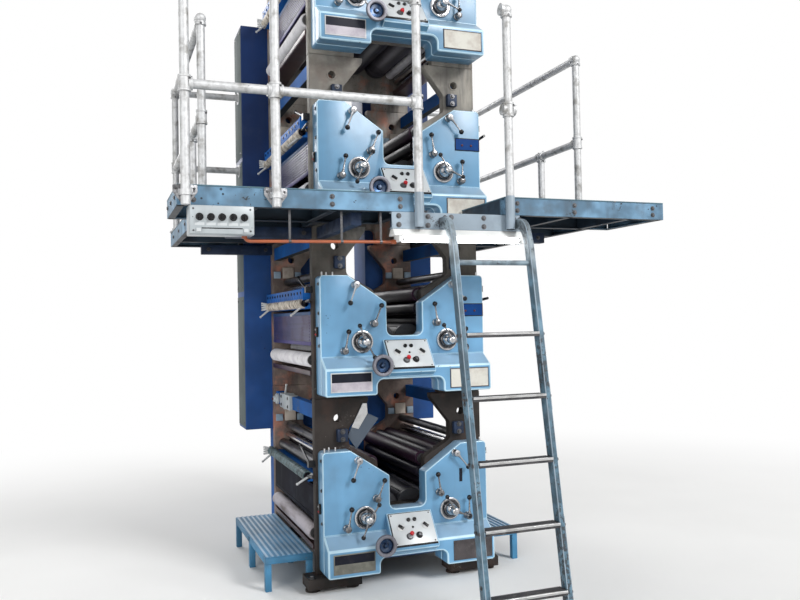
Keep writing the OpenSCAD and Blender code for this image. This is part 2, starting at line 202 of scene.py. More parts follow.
def paintedMetal(name, s):
    tree, shader = startMaterial(name)
    fading = useEffect(tree, "patch", Scale=s.fadeScale, From=.38, To=.66, Detail=3)
    colour = mixColours(tree, fading, shade(s.colour, s.fade), shade(s.colour, 1.06))
    if s.lower:  # another colour below the turn; on the covers the darker upper colour is painted shade
        above = between(tree, objectPart(tree, "Object", 2), s.turn - .06, s.turn + .06)
        low = mixColours(tree, fading, shade(s.lower, s.fade), shade(s.lower, 1.06))
        colour = mixColours(tree, above, low, colour)
    smudges = scaled(tree, useEffect(tree, "patch", Scale=6, From=.5, To=.78, Detail=8), s.smudge)
    colour = mixColours(tree, smudges, colour, shade(s.dirt, 1.8))
    runs = useEffect(tree, "patch", Scale=s.runScale, Stretch=(1, 1, .11), From=.52, To=.74, Detail=6)
    colour = mixColours(tree, scaled(tree, runs, s.runs), colour, shade(s.dirt))
    spots = useEffect(tree, "spot", Scale=26, Size=s.spots)
    colour = mixColours(tree, scaled(tree, spots, .85), colour, driedInk)
    chips = useEffect(tree, "chip", Scale=48, Amount=s.chip)
    colour = mixColours(tree, chips, colour, shade(s.chipColour))
    if s.settled:  # pale dust and painted top light on faces that look up
        upward = scaled(tree, between(tree, objectPart(tree, "Normal", 2), .3, .9), s.settled)
        colour = mixColours(tree, upward, colour, (.50, .58, .64, 1))
    if s.under < 1:  # painted shade on the undersides
        below = between(tree, objectPart(tree, "Normal", 2), -.4, -.9)
        colour = mixColours(tree, below, colour, shade(s.dirt, s.under))
    if s.shelter:  # painted shade: darker behind the front edge, inside the outer sides and under the floor
        frontEdge, half, rear, high, depth = s.shelter
        across, along = maths(tree, "ABSOLUTE", objectPart(tree, "Object", 0)), objectPart(tree, "Object", 1)
        paintedShadeMask = between(tree, along, frontEdge, frontEdge + .02)
        for value, edge in ((along, rear), (across, half), (objectPart(tree, "Object", 2), high)):
            paintedShadeMask = scaled(tree, paintedShadeMask, between(tree, value, edge, edge - .005))
        colour = mixColours(tree, scaled(tree, paintedShadeMask, depth), colour, (.008, .010, .016, 1))
    feed(shader, "Base Color", colour)
    feed(shader, "Specular IOR Level", s.specular)
    rough = mixValues(tree, smudges, s.rough, s.rough + .35)
    feed(shader, "Roughness", mixValues(tree, chips, rough, .6))
    feed(shader, "Coat Weight", s.coat)
    feed(shader, "Coat Roughness", .18)
    grain = useEffect(tree, "grain", Fine=260, Coarse=14, Share=.75)
    addBump(tree, shader, maths(tree, "ADD", grain, scaled(tree, chips, -.9)), s.grain)


metalBase = dict(
    stain=(.10, .09, .08), stainAmount=.45, stainScale=7, roughSpread=.25, brush=(1, 1, 1), brushScale=90,
    grain=.0002, metallic=1, spots=.08)


def bareMetal(name, s):
    tree, shader = startMaterial(name)
    lines = useEffect(tree, "patch", Scale=s.brushScale, Stretch=s.brush, From=.3, To=.7, Detail=3)
    colour = mixColours(tree, lines, shade(s.colour, .86), shade(s.colour, 1.08))
    # stain patches; on the chrome and the wheel dish they are painted reflection
    stainsAndReflections = scaled(tree, useEffect(tree, "patch", Scale=s.stainScale, From=.48, To=.72, Detail=7), s.stainAmount)
    colour = mixColours(tree, stainsAndReflections, colour, shade(s.stain))
    spots = useEffect(tree, "spot", Scale=34, Size=s.spots)
    feed(shader, "Base Color", mixColours(tree, spots, colour, (.012, .012, .015, 1)))
    rough = mixValues(tree, lines, s.rough, s.rough + s.roughSpread * .4)
    feed(shader, "Roughness", mixValues(tree, stainsAndReflections, rough, s.rough + s.roughSpread))
    feed(shader, "Metallic", mixValues(tree, spots, s.metallic, 0))
    addBump(tree, shader, lines, s.grain)


plainBase = dict(
    patchScale=9, rough=.5, fine=500, coarse=30, share=.3, grain=.0003, stretch=(1, 1, 1), dust=.25, specular=.3)


def plainSurface(name, s):  # rubber, plastic, sleeves and signs
    tree, shader = startMaterial(name)
    patches = useEffect(tree, "patch", Scale=s.patchScale, Stretch=s.stretch, From=.4, To=.7, Detail=6)
    colour = mixColours(tree, patches, shade(s.colour), shade(s.second))
    dust = scaled(tree, useEffect(tree, "patch", Scale=23, From=.52, To=.75, Detail=8), s.dust)
    feed(shader, "Base Color", mixColours(tree, dust, colour, (.2, .19, .17, 1)))
    feed(shader, "Roughness", mixValues(tree, patches, s.rough, s.rough + .2))
    feed(shader, "Specular IOR Level", s.specular)
    addBump(tree, shader, useEffect(tree, "grain", Fine=s.fine, Coarse=s.coarse, Share=s.share), s.grain)


ironBase = dict(
    dark=(.012, .010, .009), light=(.034, .027, .024), high=(.34, .32, .28), highFrom=1.7, highTo=2.9,
    highDark=(.15, .14, .125), oil=(.010, .009, .009), stain=(.10, .05, .035), stained=.25)


def castIron(name, s):  # frame castings, darker low down and lighter higher up, with oil runs
    tree, shader = startMaterial(name)
    broad = useEffect(tree, "patch", Scale=3.2, From=.36, To=.66, Detail=8)
    rise = between(tree, objectPart(tree, "Object", 2), s.highFrom, s.highTo)
    light = mixColours(tree, rise, shade(s.light), shade(s.high))
    dark = mixColours(tree, rise, shade(s.dark), shade(s.highDark))
    colour = mixColours(tree, broad, dark, light)
    stainsAndReflections = useEffect(tree, "patch", Scale=4.6, From=.5, To=.66, Detail=6)
    colour = mixColours(tree, scaled(tree, stainsAndReflections, s.stained), colour, shade(s.stain))
    oil = useEffect(tree, "patch", Scale=7, Stretch=(1, 1, .16), From=.5, To=.72, Detail=5)
    colour = mixColours(tree, scaled(tree, oil, .75), colour, shade(s.oil))
    chips = useEffect(tree, "chip", Scale=70, Amount=.3)
    feed(shader, "Base Color", mixColours(tree, chips, colour, (.12, .11, .10, 1)))
    feed(shader, "Roughness", mixValues(tree, oil, .68, .36))
    feed(shader, "Specular IOR Level", .25)
    addBump(tree, shader, useEffect(tree, "grain", Fine=150, Coarse=22, Share=.4), .0016)


def guardSheet():  # grey-violet sheet with faint rolled lines
    tree, shader = startMaterial("guardSheet")
    lines = useEffect(tree, "patch", Scale=60, Stretch=(.2, .02, 1), From=.3, To=.7, Detail=2)
    colour = mixColours(tree, lines, (.036, .033, .090, 1), (.064, .058, .150, 1))
    stainsAndReflections = useEffect(tree, "patch", Scale=5, From=.45, To=.75, Detail=7)
    feed(shader, "Base Color", mixColours(tree, scaled(tree, stainsAndReflections, .7), colour, (.090, .048, .072, 1)))
    feed(shader, "Roughness", mixValues(tree, stainsAndReflections, .32, .55))
    feed(shader, "Specular IOR Level", .3)
    addBump(tree, shader, lines, .0004)


def glowingTube():
    tree, shader = startMaterial("tubeGlow")
    feed(shader, "Base Color", (.9, .9, .9, 1))
    ends = useEffect(tree, "patch", Scale=3, From=.2, To=.5, Detail=1)
    feed(shader, "Emission Color", mixColours(tree, ends, (.86, .92, 1, 1), (.97, .99, 1, 1)))
    feed(shader, "Emission Strength", 12)
    feed(shader, "Roughness", .3)


irons = {
    "castIron": {},
    # the drive castings' own pale iron, made lighter still as painted light inside the machine
    "driveIronWithPaintedLight": dict(dark=(.13, .10, .09), light=(.34, .27, .23), high=(.38, .34, .30), highFrom=1.9,
        stain=(.46, .19, .13), stained=.8),
}
paints = {
    # the covers' darker upper colour, above the turn, is painted shade on the two upper units
    "coverBlue": dict(colour=(.115, .268, .425), lower=(.143, .330, .528), turn=2.22, fade=.80, runs=.12,
        smudge=.18, chip=.08, spots=.10, settled=.32),
    # pale bevel edges of the covers: worn paint and painted highlight
    "coverEdgeWearAndHighlight": dict(colour=(.46, .66, .78), fade=.86, runs=.06, smudge=.12, chip=.2),
    "fountainBlue": dict(colour=(.015, .145, .520), fade=.7, chip=.2, spots=.2, smudge=.2, rough=.5, coat=0,
        specular=.15),
    "deepBlue": dict(colour=(.010, .034, .130), lower=(.018, .078, .270), turn=2.28, fade=.7, runs=.10,
        smudge=.12, chip=.03, chipColour=(.15, .16, .17), rough=.48, coat=0, specular=.2),
    "deckBlue": dict(colour=(.162, .308, .455), fade=.48, fadeScale=4.5, runs=.5, smudge=.7, chip=.34,
        chipColour=(.035, .040, .045), spots=.2, rough=.5, coat=0, specular=.3, under=.5,
        shelter=(-.885, 1.285, 1.325, 2.338, .86)),
    "floorPlate": dict(colour=(.085, .17, .22), fade=.6, runs=0, smudge=.8, chip=.42, chipColour=(.20, .19, .18),
        spots=.2, rough=.55, coat=0, specular=.3, under=.5),
    "tieBlue": dict(colour=(.010, .105, .370), fade=.7, runs=.2, smudge=.2, chip=.2, rough=.65, coat=0,
        specular=.12, under=.6),
    "footBlue": dict(colour=(.065, .235, .410), fade=.6, smudge=.35, runs=.3, chip=.3, rough=.5, coat=0,
        specular=.3),
    "stileBlue": dict(colour=(.240, .300, .340), lower=(.118, .214, .288), turn=1.93, fade=.42, fadeScale=9,
        runs=.3, smudge=.7, chip=.55, chipColour=(.045, .055, .065), rough=.46, coat=0),
    "housingGrey": dict(colour=(.15, .175, .175), fade=.85, runs=.2, chip=.05, rough=.8, coat=0, specular=.06),
    "beamGrey": dict(colour=(.33, .41, .485), fade=.7, smudge=.45, chip=.25, rough=.45),
    "panelWhite": dict(colour=(.55, .58, .595), fade=.93, runs=.05, smudge=.12, chip=.02, spots=.04,
        dirt=(.12, .12, .12), rough=.3),
    "boxGrey": dict(colour=(.43, .47, .49), fade=.88, runs=.12, smudge=.2, chip=.06, rough=.4),
    "lampWhite": dict(colour=(.78, .79, .78), fade=.9, runs=.05, smudge=.25, chip=.03, dirt=(.15, .14, .12),
        spots=.05),
    "slate": dict(colour=(.060, .078, .105), fade=.7, chip=.2, rough=.5, coat=0),
    # a near-black copy of the guard paint for the lowest guards: painted shade
    "guardInShade": dict(colour=(.010, .010, .018), fade=.6, chip=.15, smudge=.25, rough=.7, coat=0, specular=.06),
    "guardTop": dict(colour=(.030, .085, .220), fade=.6, smudge=.4, chip=.15, rough=.45, coat=0, specular=.3),
    "guardLow": dict(colour=(.060, .045, .185), fade=.7, smudge=.4, chip=.15, rough=.45, coat=0, specular=.3),
    "panBrown": dict(colour=(.075, .030, .034), fade=.5, runs=.5, smudge=.7, chip=.3, chipColour=(.2, .15, .1),
        rough=.4),
    "conduit": dict(colour=(.42, .105, .035), fade=.75, runs=.1, chip=.15, rough=.4),
}
metals = {
    # the chrome's dark stain patches are painted reflection
    "chrome": dict(colour=(.55, .55, .56), rough=.12, roughSpread=.3, stain=(.09, .085, .08), grain=.00005),
    # chrome painted dark: the dark reflection in the dial dishes
    "chromeDarkReflection": dict(colour=(.10, .10, .105), rough=.14, roughSpread=.3, stainAmount=.4,
        stain=(.03, .028, .028), grain=.00005),
    "steel": dict(colour=(.42, .42, .43), rough=.25, brush=(30, .3, 30), brushScale=20, stainAmount=.5),
    "leverSteel": dict(colour=(.21, .21, .215), rough=.22, stainAmount=.4, stain=(.05, .045, .04)),
    "darkSteel": dict(colour=(.11, .11, .115), rough=.34, stainAmount=.6, stain=(.03, .028, .025)),
    "wheelRim": dict(colour=(.19, .19, .22), rough=.42, stainAmount=.5, stain=(.09, .08, .085), metallic=.5),
    "inkSteel": dict(colour=(.045, .045, .050), rough=.42, stainAmount=.7, metallic=.4, stain=(.008, .008, .012)),
    # the pale grey stain patches on the dark dish are painted reflection
    "wheelDish": dict(colour=(.028, .052, .105), rough=.24, stainAmount=.6, stain=(.20, .22, .26), stainScale=16),
    "cylinderPlate": dict(colour=(.075, .070, .085), rough=.42, brush=(1, 12, 1), brushScale=6,
        stain=(.010, .008, .018), stainAmount=.9, stainScale=3.5, metallic=.4),
    "galvanised": dict(colour=(.53, .535, .54), rough=.48, roughSpread=.2, brushScale=36, stain=(.15, .14, .12),
        stainAmount=.75, stainScale=13, metallic=.4, spots=.12, grain=.0006),
    "clampMetal": dict(colour=(.30, .30, .31), rough=.36, stainAmount=.95, stain=(.04, .04, .045), stainScale=22,
        metallic=.6, grain=.0008),
    "nosing": dict(colour=(.55, .55, .55), rough=.3, stainAmount=.5, brush=(.3, 30, 30)),
}
surfaces = {
    "plateLight": dict(colour=(.60, .61, .61), second=(.46, .47, .48), rough=.36, dust=.1),
    "plateLilac": dict(colour=(.46, .43, .47), second=(.33, .30, .35), rough=.4, dust=.1),
    "plateOlive": dict(colour=(.19, .19, .16), second=(.11, .11, .095), dust=.3),
    "plateInk": dict(colour=(.004, .005, .012), second=(.009, .011, .020), dust=.05, specular=.2),
    "plateBrown": dict(colour=(.066, .058, .060), second=(.036, .031, .033), dust=.3),
    "plateCream": dict(colour=(.56, .55, .50), second=(.43, .39, .35), dust=.2, specular=.15),
    "plateBlue": dict(colour=(.003, .038, .165), second=(.006, .050, .20), dust=.04, specular=.1),
    "inkDrum": dict(colour=(.017, .006, .015), second=(.035, .014, .031), rough=.38, stretch=(1, .2, 1),
        dust=.06, specular=.16, grain=.0001),
    "blanket": dict(colour=(.010, .011, .022), second=(.026, .026, .042), rough=.42, stretch=(1, .3, 1), dust=.08),
    "inkRubber": dict(colour=(.004, .003, .007), second=(.014, .011, .020), rough=.36, stretch=(1, .25, 1),
        dust=.04, grain=.0001, specular=.16),
    "whiteSleeve": dict(colour=(.86, .85, .87), second=(.70, .68, .72), rough=.8, fine=700, coarse=60, share=.08,
        grain=.0006, dust=.30, patchScale=8),
    # the lowest damper sleeves: worn, and darker with painted shade
    "greySleeve": dict(colour=(.50, .47, .51), second=(.20, .17, .17), rough=.7, fine=700, coarse=60, share=.08,
        grain=.0005, patchScale=12, stretch=(1, .2, 1)),
    "blockDark": dict(colour=(.012, .026, .062), second=(.006, .012, .028), dust=.1),
    "keyCream": dict(colour=(.72, .66, .57), second=(.15, .11, .08), dust=.2, patchScale=22, stretch=(1, 1.6, 1)),
    "keyTeal": dict(colour=(.085, .150, .165), second=(.015, .022, .025), rough=.4, dust=.35, patchScale=22),
    "blackPlastic": dict(colour=(.004, .004, .005), second=(.009, .009, .011), rough=.2, dust=.04, grain=.00005),
    "knobBrown": dict(colour=(.11, .025, .02), second=(.06, .02, .02), rough=.4, dust=.1),
    "redPlastic": dict(colour=(.50, .010, .018), second=(.36, .01, .014), rough=.3, dust=.06),
    "treadDark": dict(colour=(.030, .030, .034), second=(.075, .072, .075), fine=220, grain=.0012, dust=.4),
    "blockBeige": dict(colour=(.52, .46, .40), second=(.32, .26, .22), rough=.6, dust=.3),
    "blockBlue": dict(colour=(.30, .40, .50), second=(.16, .22, .30), dust=.3),
}
for makeFinish, shared, rows in (
        (castIron, ironBase, irons), (paintedMetal, paintBase, paints), (bareMetal, metalBase, metals),
        (plainSurface, plainBase, surfaces)):
    for label, changes in rows.items():
        makeFinish(label, SimpleNamespace(**{**shared, **changes}))
guardSheet()
glowingTube()
print("materials ready:", len(finish))


# Mesh tools

def newMeshes(count):
    return [bmesh.new() for i in range(count)]


def arcCorner(before, point, after, radius, steps):
    a, b, c = (Vector(p[:2]) for p in (before, point, after))
    inward, outward = (a - b).normalized(), (c - b).normalized()
    half = inward.angle(outward) / 2
    centre = b + (inward + outward).normalized() * radius / math.sin(half)
    start = b + inward * radius / math.tan(half) - centre
    stop = b + outward * radius / math.tan(half) - centre
    sweep = start.angle_signed(stop)
    return [tuple(centre + Matrix.Rotation(-sweep * i / steps, 2) @ start) for i in range(steps + 1)]


def roundOutline(points, steps=5):  # points with a third number get an arc of that radius
    done = []
    for i, p in enumerate(points):
        if len(p) > 2:
            done += arcCorner(points[i - 1], p, points[(i + 1) % len(points)], p[2], steps)
        else:
            done.append(p)
    return done


def symmetric(points):  # a rounded outline from its right half
    return roundOutline(points + [(-p[0], *p[1:]) for p in points[::-1]])


layouts = {"x": lambda a, b, d: (d, a, b), "y": lambda a, b, d: (a, d, b)}


def slab(mesh, outline, near, far, axis="y", slot=0):
    lay = layouts[axis]
    nearVerts = [mesh.verts.new(lay(a, b, near)) for a, b in outline]
    farVerts = [mesh.verts.new(lay(a, b, far)) for a, b in outline]
    made = [mesh.faces.new(nearVerts), mesh.faces.new(farVerts[::-1])]
    for i in range(len(outline)):
        made.append(mesh.faces.new((nearVerts[i - 1], farVerts[i - 1], farVerts[i], nearVerts[i])))
    for face in made:
        face.material_index = slot
    return nearVerts, farVerts


def block(mesh, xs, ys, zs, slot=0):
    (x0, x1), (y0, y1), (z0, z1) = sorted(xs), sorted(ys), sorted(zs)
    return slab(mesh, [(x0, z0), (x1, z0), (x1, z1), (x0, z1)], y0, y1, "y", slot)


# A profile is (radius, way along the axis), and a third number is the slot of the band that it starts
def lathe(mesh, profile, centre, axis=front, steps=32, slot=0, closed=False):
    along = Vector(axis).normalized()
    across = along.orthogonal().normalized()
    other = along.cross(across)
    turns = [math.tau * i / steps for i in range(steps)]
    rings = []
    for radius, way, *_ in profile:
        middle = Vector(centre) + along * way
        spokes = [math.cos(turn) * across + math.sin(turn) * other for turn in turns] if radius else [along * 0]
        rings.append([mesh.verts.new(middle + radius * spoke) for spoke in spokes])
    slots = [part[2] if len(part) > 2 else slot for part in profile]
    for low, high, bandSlot in zip(rings, rings[1:] + rings[:closed], slots):
        for i in range(steps):
            corners = []
            for ring, at in ((low, i - 1), (low, i), (high, i), (high, i - 1)):
                corner = ring[at] if len(ring) > 1 else ring[0]
                if corner not in corners:
                    corners.append(corner)
            mesh.faces.new(corners).material_index = bandSlot
    for ring, capSlot in () if closed else ((rings[0], slots[0]), (rings[-1], slots[-1])):
        if len(ring) > 1:
            mesh.faces.new(ring).material_index = capSlot


def tube(mesh, start, end, radius, endRadius=None, steps=20, slot=0):
    way = Vector(end) - Vector(start)
    lathe(mesh, [(radius, 0), (endRadius or radius, way.length)], start, way, steps, slot)


def ball(mesh, centre, radius, axis=up, steps=24, slot=0):
    rows = steps // 2
    angles = [math.pi * i / rows for i in range(1, rows)]
    arc = [(radius * math.sin(angle), -radius * math.cos(angle)) for angle in angles]
    lathe(mesh, [(0, -radius), *arc, (0, radius)], centre, axis, steps, slot)


def soften(mesh, width, steps=2, edgeSlot=-1):  # rounds the edges over 35 degrees
    bmesh.ops.recalc_face_normals(mesh, faces=mesh.faces)
    edges = [e for e in mesh.edges if len(e.link_faces) == 2 and e.calc_face_angle() > math.radians(35)]
    bmesh.ops.bevel(mesh, geom=edges, offset=width, offset_type="OFFSET", segments=steps, profile=.5,
                    affect="EDGES", clamp_overlap=True, material=edgeSlot)
    return mesh


def addMesh(mesh, other):  # joins another mesh and frees it
    passed = bpy.data.meshes.new("passed")
    other.to_mesh(passed)
    other.free()
    mesh.from_mesh(passed)
    bpy.data.meshes.remove(passed)


def copied(mesh, moves):  # the mesh at each side and floor of the moves
    whole = bmesh.new()
    for side, floor in moves:
        part = mesh.copy()
        part.transform(Matrix.Translation((0, 0, floor)) @ Matrix.Diagonal((side, 1, 1, 1)))
        addMesh(whole, part)
    mesh.free()
    return whole


def copiedSpots(spots, moves):  # spots are places with their facings
    return [((side * x, y, z + floor), (side * a, b, c))
            for side, floor in moves for (x, y, z), (a, b, c) in spots]


def settle(piece, replaces=(), body="tower"):
    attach(piece, body)
    if replaces:
        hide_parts(*replaces)


def makePiece(name, meshes, materials, replaces=(), moves=once, body="tower"):
    whole = bmesh.new()
    for part in meshes:
        addMesh(whole, part)
    whole = copied(whole, moves)
    bmesh.ops.recalc_face_normals(whole, faces=whole.faces)
    bmesh.ops.translate(whole, verts=whole.verts, vec=(0, coverFace, 0))
    data = bpy.data.meshes.new(name)
    whole.to_mesh(data)
    whole.free()
    for label in materials:
        data.materials.append(finish[label])
    data.shade_smooth()
    data.set_sharp_from_angle(angle=math.radians(38))
    piece = bpy.data.objects.new(name, data)
    bpy.context.scene.collection.objects.link(piece)
    settle(piece, replaces, body)


# Geometry Nodes trees

def startTree(name, **inputs):
    tree = bpy.data.node_groups.new(name, "GeometryNodeTree")
    for label, kind in {"Geometry": "Geometry", **inputs, "Material": "Material"}.items():
        tree.interface.new_socket(label, in_out="INPUT", socket_type="NodeSocket" + kind)
    tree.interface.new_socket("Geometry", in_out="OUTPUT", socket_type="NodeSocketGeometry")
    return tree, tree.nodes.new("NodeGroupInput").outputs


def endTree(tree, given, placed):
    real = put(tree, "GeometryNodeRealizeInstances", {"Geometry": placed})
    coated = put(tree, "GeometryNodeSetMaterial", {"Geometry": real, "Material": given["Material"]})
    put(tree, "NodeGroupOutput", {0: coated})
    return tree


def fastenerTree():  # a chamfered head on a washer at each point, turned to the point's facing
    tree, given = startTree("fasteners", Radius="Float", Height="Float", Sides="Int", Washer="Float")
    lower = scaled(tree, given["Height"], .3)
    shank = put(tree, "GeometryNodeMeshCylinder", {
        "Vertices": given["Sides"], "Radius": given["Radius"], "Depth": given["Height"]})
    crown = put(tree, "GeometryNodeMeshCone", {
        "Vertices": given["Sides"], "Radius Top": scaled(tree, given["Radius"], .8),
        "Radius Bottom": given["Radius"], "Depth": lower})
    washer = put(tree, "GeometryNodeMeshCylinder", {"Vertices": 16, "Radius": given["Washer"], "Depth": lower})
    lift = put(tree, "ShaderNodeCombineXYZ", {2: scaled(tree, given["Height"], .5)})
    lifted = put(tree, "GeometryNodeTransform", {"Geometry": crown, "Translation": lift})
    head = put(tree, "GeometryNodeJoinGeometry")
    for part in (shank, lifted, washer):
        feed(head, 0, part)
    facing = put(tree, "GeometryNodeInputNamedAttribute", {"Name": "facing"}, data_type="FLOAT_VECTOR")
    turn = put(tree, "FunctionNodeAlignRotationToVector", {"Vector": facing}, axis="Z")
    return endTree(tree, given, put(tree, "GeometryNodeInstanceOnPoints", {
        "Points": given["Geometry"], "Instance": head, "Rotation": turn}))


def barTree():  # rows of bars, one row from each point
    tree, given = startTree("bars", Step="Vector", Count="Int", Size="Vector", Turn="Rotation")
    line = put(tree, "GeometryNodeMeshLine", {"Count": given["Count"], "Offset": given["Step"]})
    bar = put(tree, "GeometryNodeMeshCube", {"Size": given["Size"]})
    row = put(tree, "GeometryNodeInstanceOnPoints", {"Points": line, "Instance": bar, "Rotation": given["Turn"]})
    return endTree(tree, given, put(tree, "GeometryNodeInstanceOnPoints", {
        "Points": given["Geometry"], "Instance": row}))


trees = {"fasteners": fastenerTree(), "bars": barTree()}


def growFrom(name, kind, spots, values, material, moves):
    spots = copiedSpots(spots, moves)
    data = bpy.data.meshes.new(name)
    data.from_pydata([(x, y + coverFace, z) for (x, y, z), way in spots], [], [])
    facing = data.attributes.new("facing", "FLOAT_VECTOR", "POINT")
    facing.data.foreach_set("vector", [part for at, way in spots for part in way])
    source = bpy.data.objects.new(name, data)
    bpy.context.scene.collection.objects.link(source)
    grower = source.modifiers.new(name, "NODES")
    grower.node_group = trees[kind]
    values["Material"] = finish[material]
    for item in grower.node_group.interface.items_tree:
        if item.in_out == "INPUT" and item.name in values:
            grower[item.identifier] = values[item.name]
    grown = bpy.data.meshes.new_from_object(source.evaluated_get(bpy.context.evaluated_depsgraph_get()))
    source.modifiers.remove(grower)
    source.data = grown
    bpy.data.meshes.remove(data)
    grown.name = name
    grown.attributes.remove(grown.attributes["facing"])
    settle(source)


def makeFasteners(name, spots, radius, height, material, washer=0, sides=6, moves=once):
    growFrom(name, "fasteners", spots, {"Radius": radius, "Height": height, "Sides": sides,
                                        "Washer": washer or radius * .5}, material, moves)


def makeBars(name, points, step, count, size, material, turn=(0, 0, 0), moves=once):
    growFrom(name, "bars", [(point, up) for point in points], {"Step": step, "Count": count, "Size": size,
                                                               "Turn": turn}, material, moves)


# Castings and feet

casting = dict(
    notch=.16, notchLow=.48, shoulder=.76, window=.345, windowLow=.865, windowHigh=.975, neck=.215, neckLow=1.14,
    arch=.27, archTop=.215, hole=.025, rim=.034, holeX=.42, holeZ=1.045,
    blockBolts=[(.396, .073, .915), (.396, .073, .963)], backBoltX=(.30, .42, .53), backBoltZ=(.14, 1.10),
    operatorBlocks=[(.396, .034, .9, .978, .035, 1)],
    driveBlocks=[(.447, .042, .904, .988, .018, 2), (.370, .024, .904, .952, .018, 3),
                 (.530, .026, .904, .956, .018, 3)])  # middle, half width, low, high, depth, slot


def makeCastings(s):
    high = base + pitch - .0004
    outline = symmetric([
        (s.notch, s.notchLow, .06), (s.notch, s.shoulder, .03), (s.window, s.windowLow, .04),
        (s.window, s.windowHigh, .03), (s.neck, s.neckLow, .04), (s.neck, high), (frameHalf, high),
        (frameHalf, base), (s.arch, base), (s.arch, s.archTop, .04)])
    for name, near, far, blocks, iron in (
            ("operator", frameFront, frameBack, s.operatorBlocks, "castIron"),
            ("drive", driveFront, driveBack, s.driveBlocks, "driveIronWithPaintedLight")):
        plate, cutters, rims, painted = newMeshes(4)
        slab(plate, outline, near, far)
        for side in sides:
            x = side * s.holeX
            tube(cutters, (x, near - .02, s.holeZ), (x, far + .02, s.holeZ), s.hole, steps=32)
            for way, face in ((-1, near), (1, far)):
                lathe(rims, [(s.hole, 0), (s.rim, 0), (s.rim, .0018), (s.rim - .0015, .003), (s.hole, .003)],
                      (x, face, s.holeZ), (0, way, 0), closed=True)
            for x, half, low, top, depth, slot in blocks:
                block(painted, (side * x - half, side * x + half), (near - depth, near), (low, top), slot)
        makePiece(name + "Castings", [drill(soften(plate, .005), cutters), rims, soften(painted, .004, 3)],
                  [iron, "blockDark", "blockBeige", "blockBlue"], [name + "_frames"], eachUnit)
    spots = [(place, front) for place in s.blockBolts]
    spots += [((x, driveBack + .002, z), back) for x in s.backBoltX for z in s.backBoltZ]
    makeFasteners("castingBolts", spots, .011, .012, "darkSteel", .016, moves=everywhere)


def drill(mesh, cutters):  # cuts the second mesh out of the first
    made = []
    for part in (mesh, cutters):
        bmesh.ops.recalc_face_normals(part, faces=part.faces)
        data = bpy.data.meshes.new("part")
        part.to_mesh(data)
        part.free()
        made.append(bpy.data.objects.new("part", data))
        bpy.context.scene.collection.objects.link(made[-1])
    cut = made[0].modifiers.new("cut", "BOOLEAN")
    cut.operation, cut.solver, cut.object = "DIFFERENCE", "EXACT", made[1]
    result = bpy.data.meshes.new_from_object(made[0].evaluated_get(bpy.context.evaluated_depsgraph_get()))
    drilled = bmesh.new()
    drilled.from_mesh(result)
    for data in [thing.data for thing in made] + [result]:
        bpy.data.meshes.remove(data)  # takes the object with it
    return drilled


feet = dict(inner=.30, outer=.64, low=.025, pad=.045, depths=[(.03, .19), (1.31, 1.44)])


def makeFeet(s):
    soles, pads, spots = *newMeshes(2), []
    for ys in s.depths:
        block(soles, (s.inner, s.outer), ys, (s.low, base))
        for x in (s.inner + s.pad, s.outer - s.pad):
            lathe(pads, [(0, 0), (s.pad, 0), (s.pad, .012), (s.pad * .7, .018), (.02, .02), (.02, .03)],
                  (x, sum(ys) / 2, 0), up)
        spots.append(((s.outer - .03, ys[0] + .03, base + .004), up))
    makePiece("levellingFeet", [soften(soles, .004), pads], ["castIron"], ["levelling_feet"],
              bothSides)
    makeFasteners("footBolts", spots, .014, .018, "darkSteel", .022, moves=bothSides)


# Operator covers

cover = dict(
    half=.55, low=.115, top=.853, horn=.37, slot=.12, slotLow=.474, slotHigh=.685, foot=.22, bridge=.209,
    boxHigh=.280, ledge=.351, console=.15, lipY=-.14, lipZ=.276, backY=-.008, backZ=.448, stubX=-.208, stubZ=.298,
    pins=[(-.530, .022), (-.492, .060), (-.455, .045), (.525, .040)], boltZ=(.42, .62, .80))


def makeCovers(s):
    plates, boxes, consoles, stubs = newMeshes(4)
    slab(plates, symmetric([
        (s.foot, s.bridge, .04), (s.foot, s.low, .015), (s.half, s.low, .015), (s.half, s.top, .025),
        (s.horn, s.top, .012), (s.slot, s.slotHigh, .012), (s.slot, s.slotLow, .04)]), 0, coverDepth)
    farVerts = slab(boxes, symmetric([
        (s.foot, s.bridge, .04), (s.foot, s.low, .015), (s.half, s.low, .015), (s.half, s.boxHigh)]),
        boxFront, .002)[1]
    for vert in farVerts:  # the top slopes up to the ledge
        if abs(vert.co.z - s.boxHigh) < 1e-4:
            vert.co.z = s.ledge
    slab(consoles, [
        (.001, s.bridge + .002), (.001, s.backZ), (s.backY, s.backZ), (s.lipY, s.lipZ), (s.lipY, s.lipZ - .026),
        (boxFront + .001, s.bridge + .016), (boxFront + .001, s.bridge + .002)], -s.console, s.console, "x")
    lathe(stubs, [(.020, -.078), (.020, .014), (.017, .018)], (s.stubX, boxFront, s.stubZ), slot=2)
    for side in sides:  # bright line where the ledge meets the upper plate: worn paint edge and painted highlight
        block(stubs, (side * (s.half - .004), side * (s.console + .001)), (-.0012, .002),
              (s.ledge - .001, s.ledge + .0022), 1)
    makePiece("operatorCovers", [soften(plates, .006, 3, 1), soften(boxes, .010, 4, 1),
                                 soften(consoles, .005, 3, 1), stubs],
              ["coverBlue", "coverEdgeWearAndHighlight", "steel"], ["covers"], eachUnit)
    makeFasteners("coverPins", [((x, y, s.top + .008), up) for x, y in s.pins], .0055, .018, "nosing",
                  sides=12, moves=eachUnit)
    makeFasteners("coverSideBolts", [((s.half + .001, .03, z), right) for z in s.boltZ], .008, .008, "darkSteel",
                  .012, moves=everywhere)


latch = dict(half=.012, tall=.062, deep=.014, y=.055, z=.475, buttons=[(.016, 1), (.046, 2)])


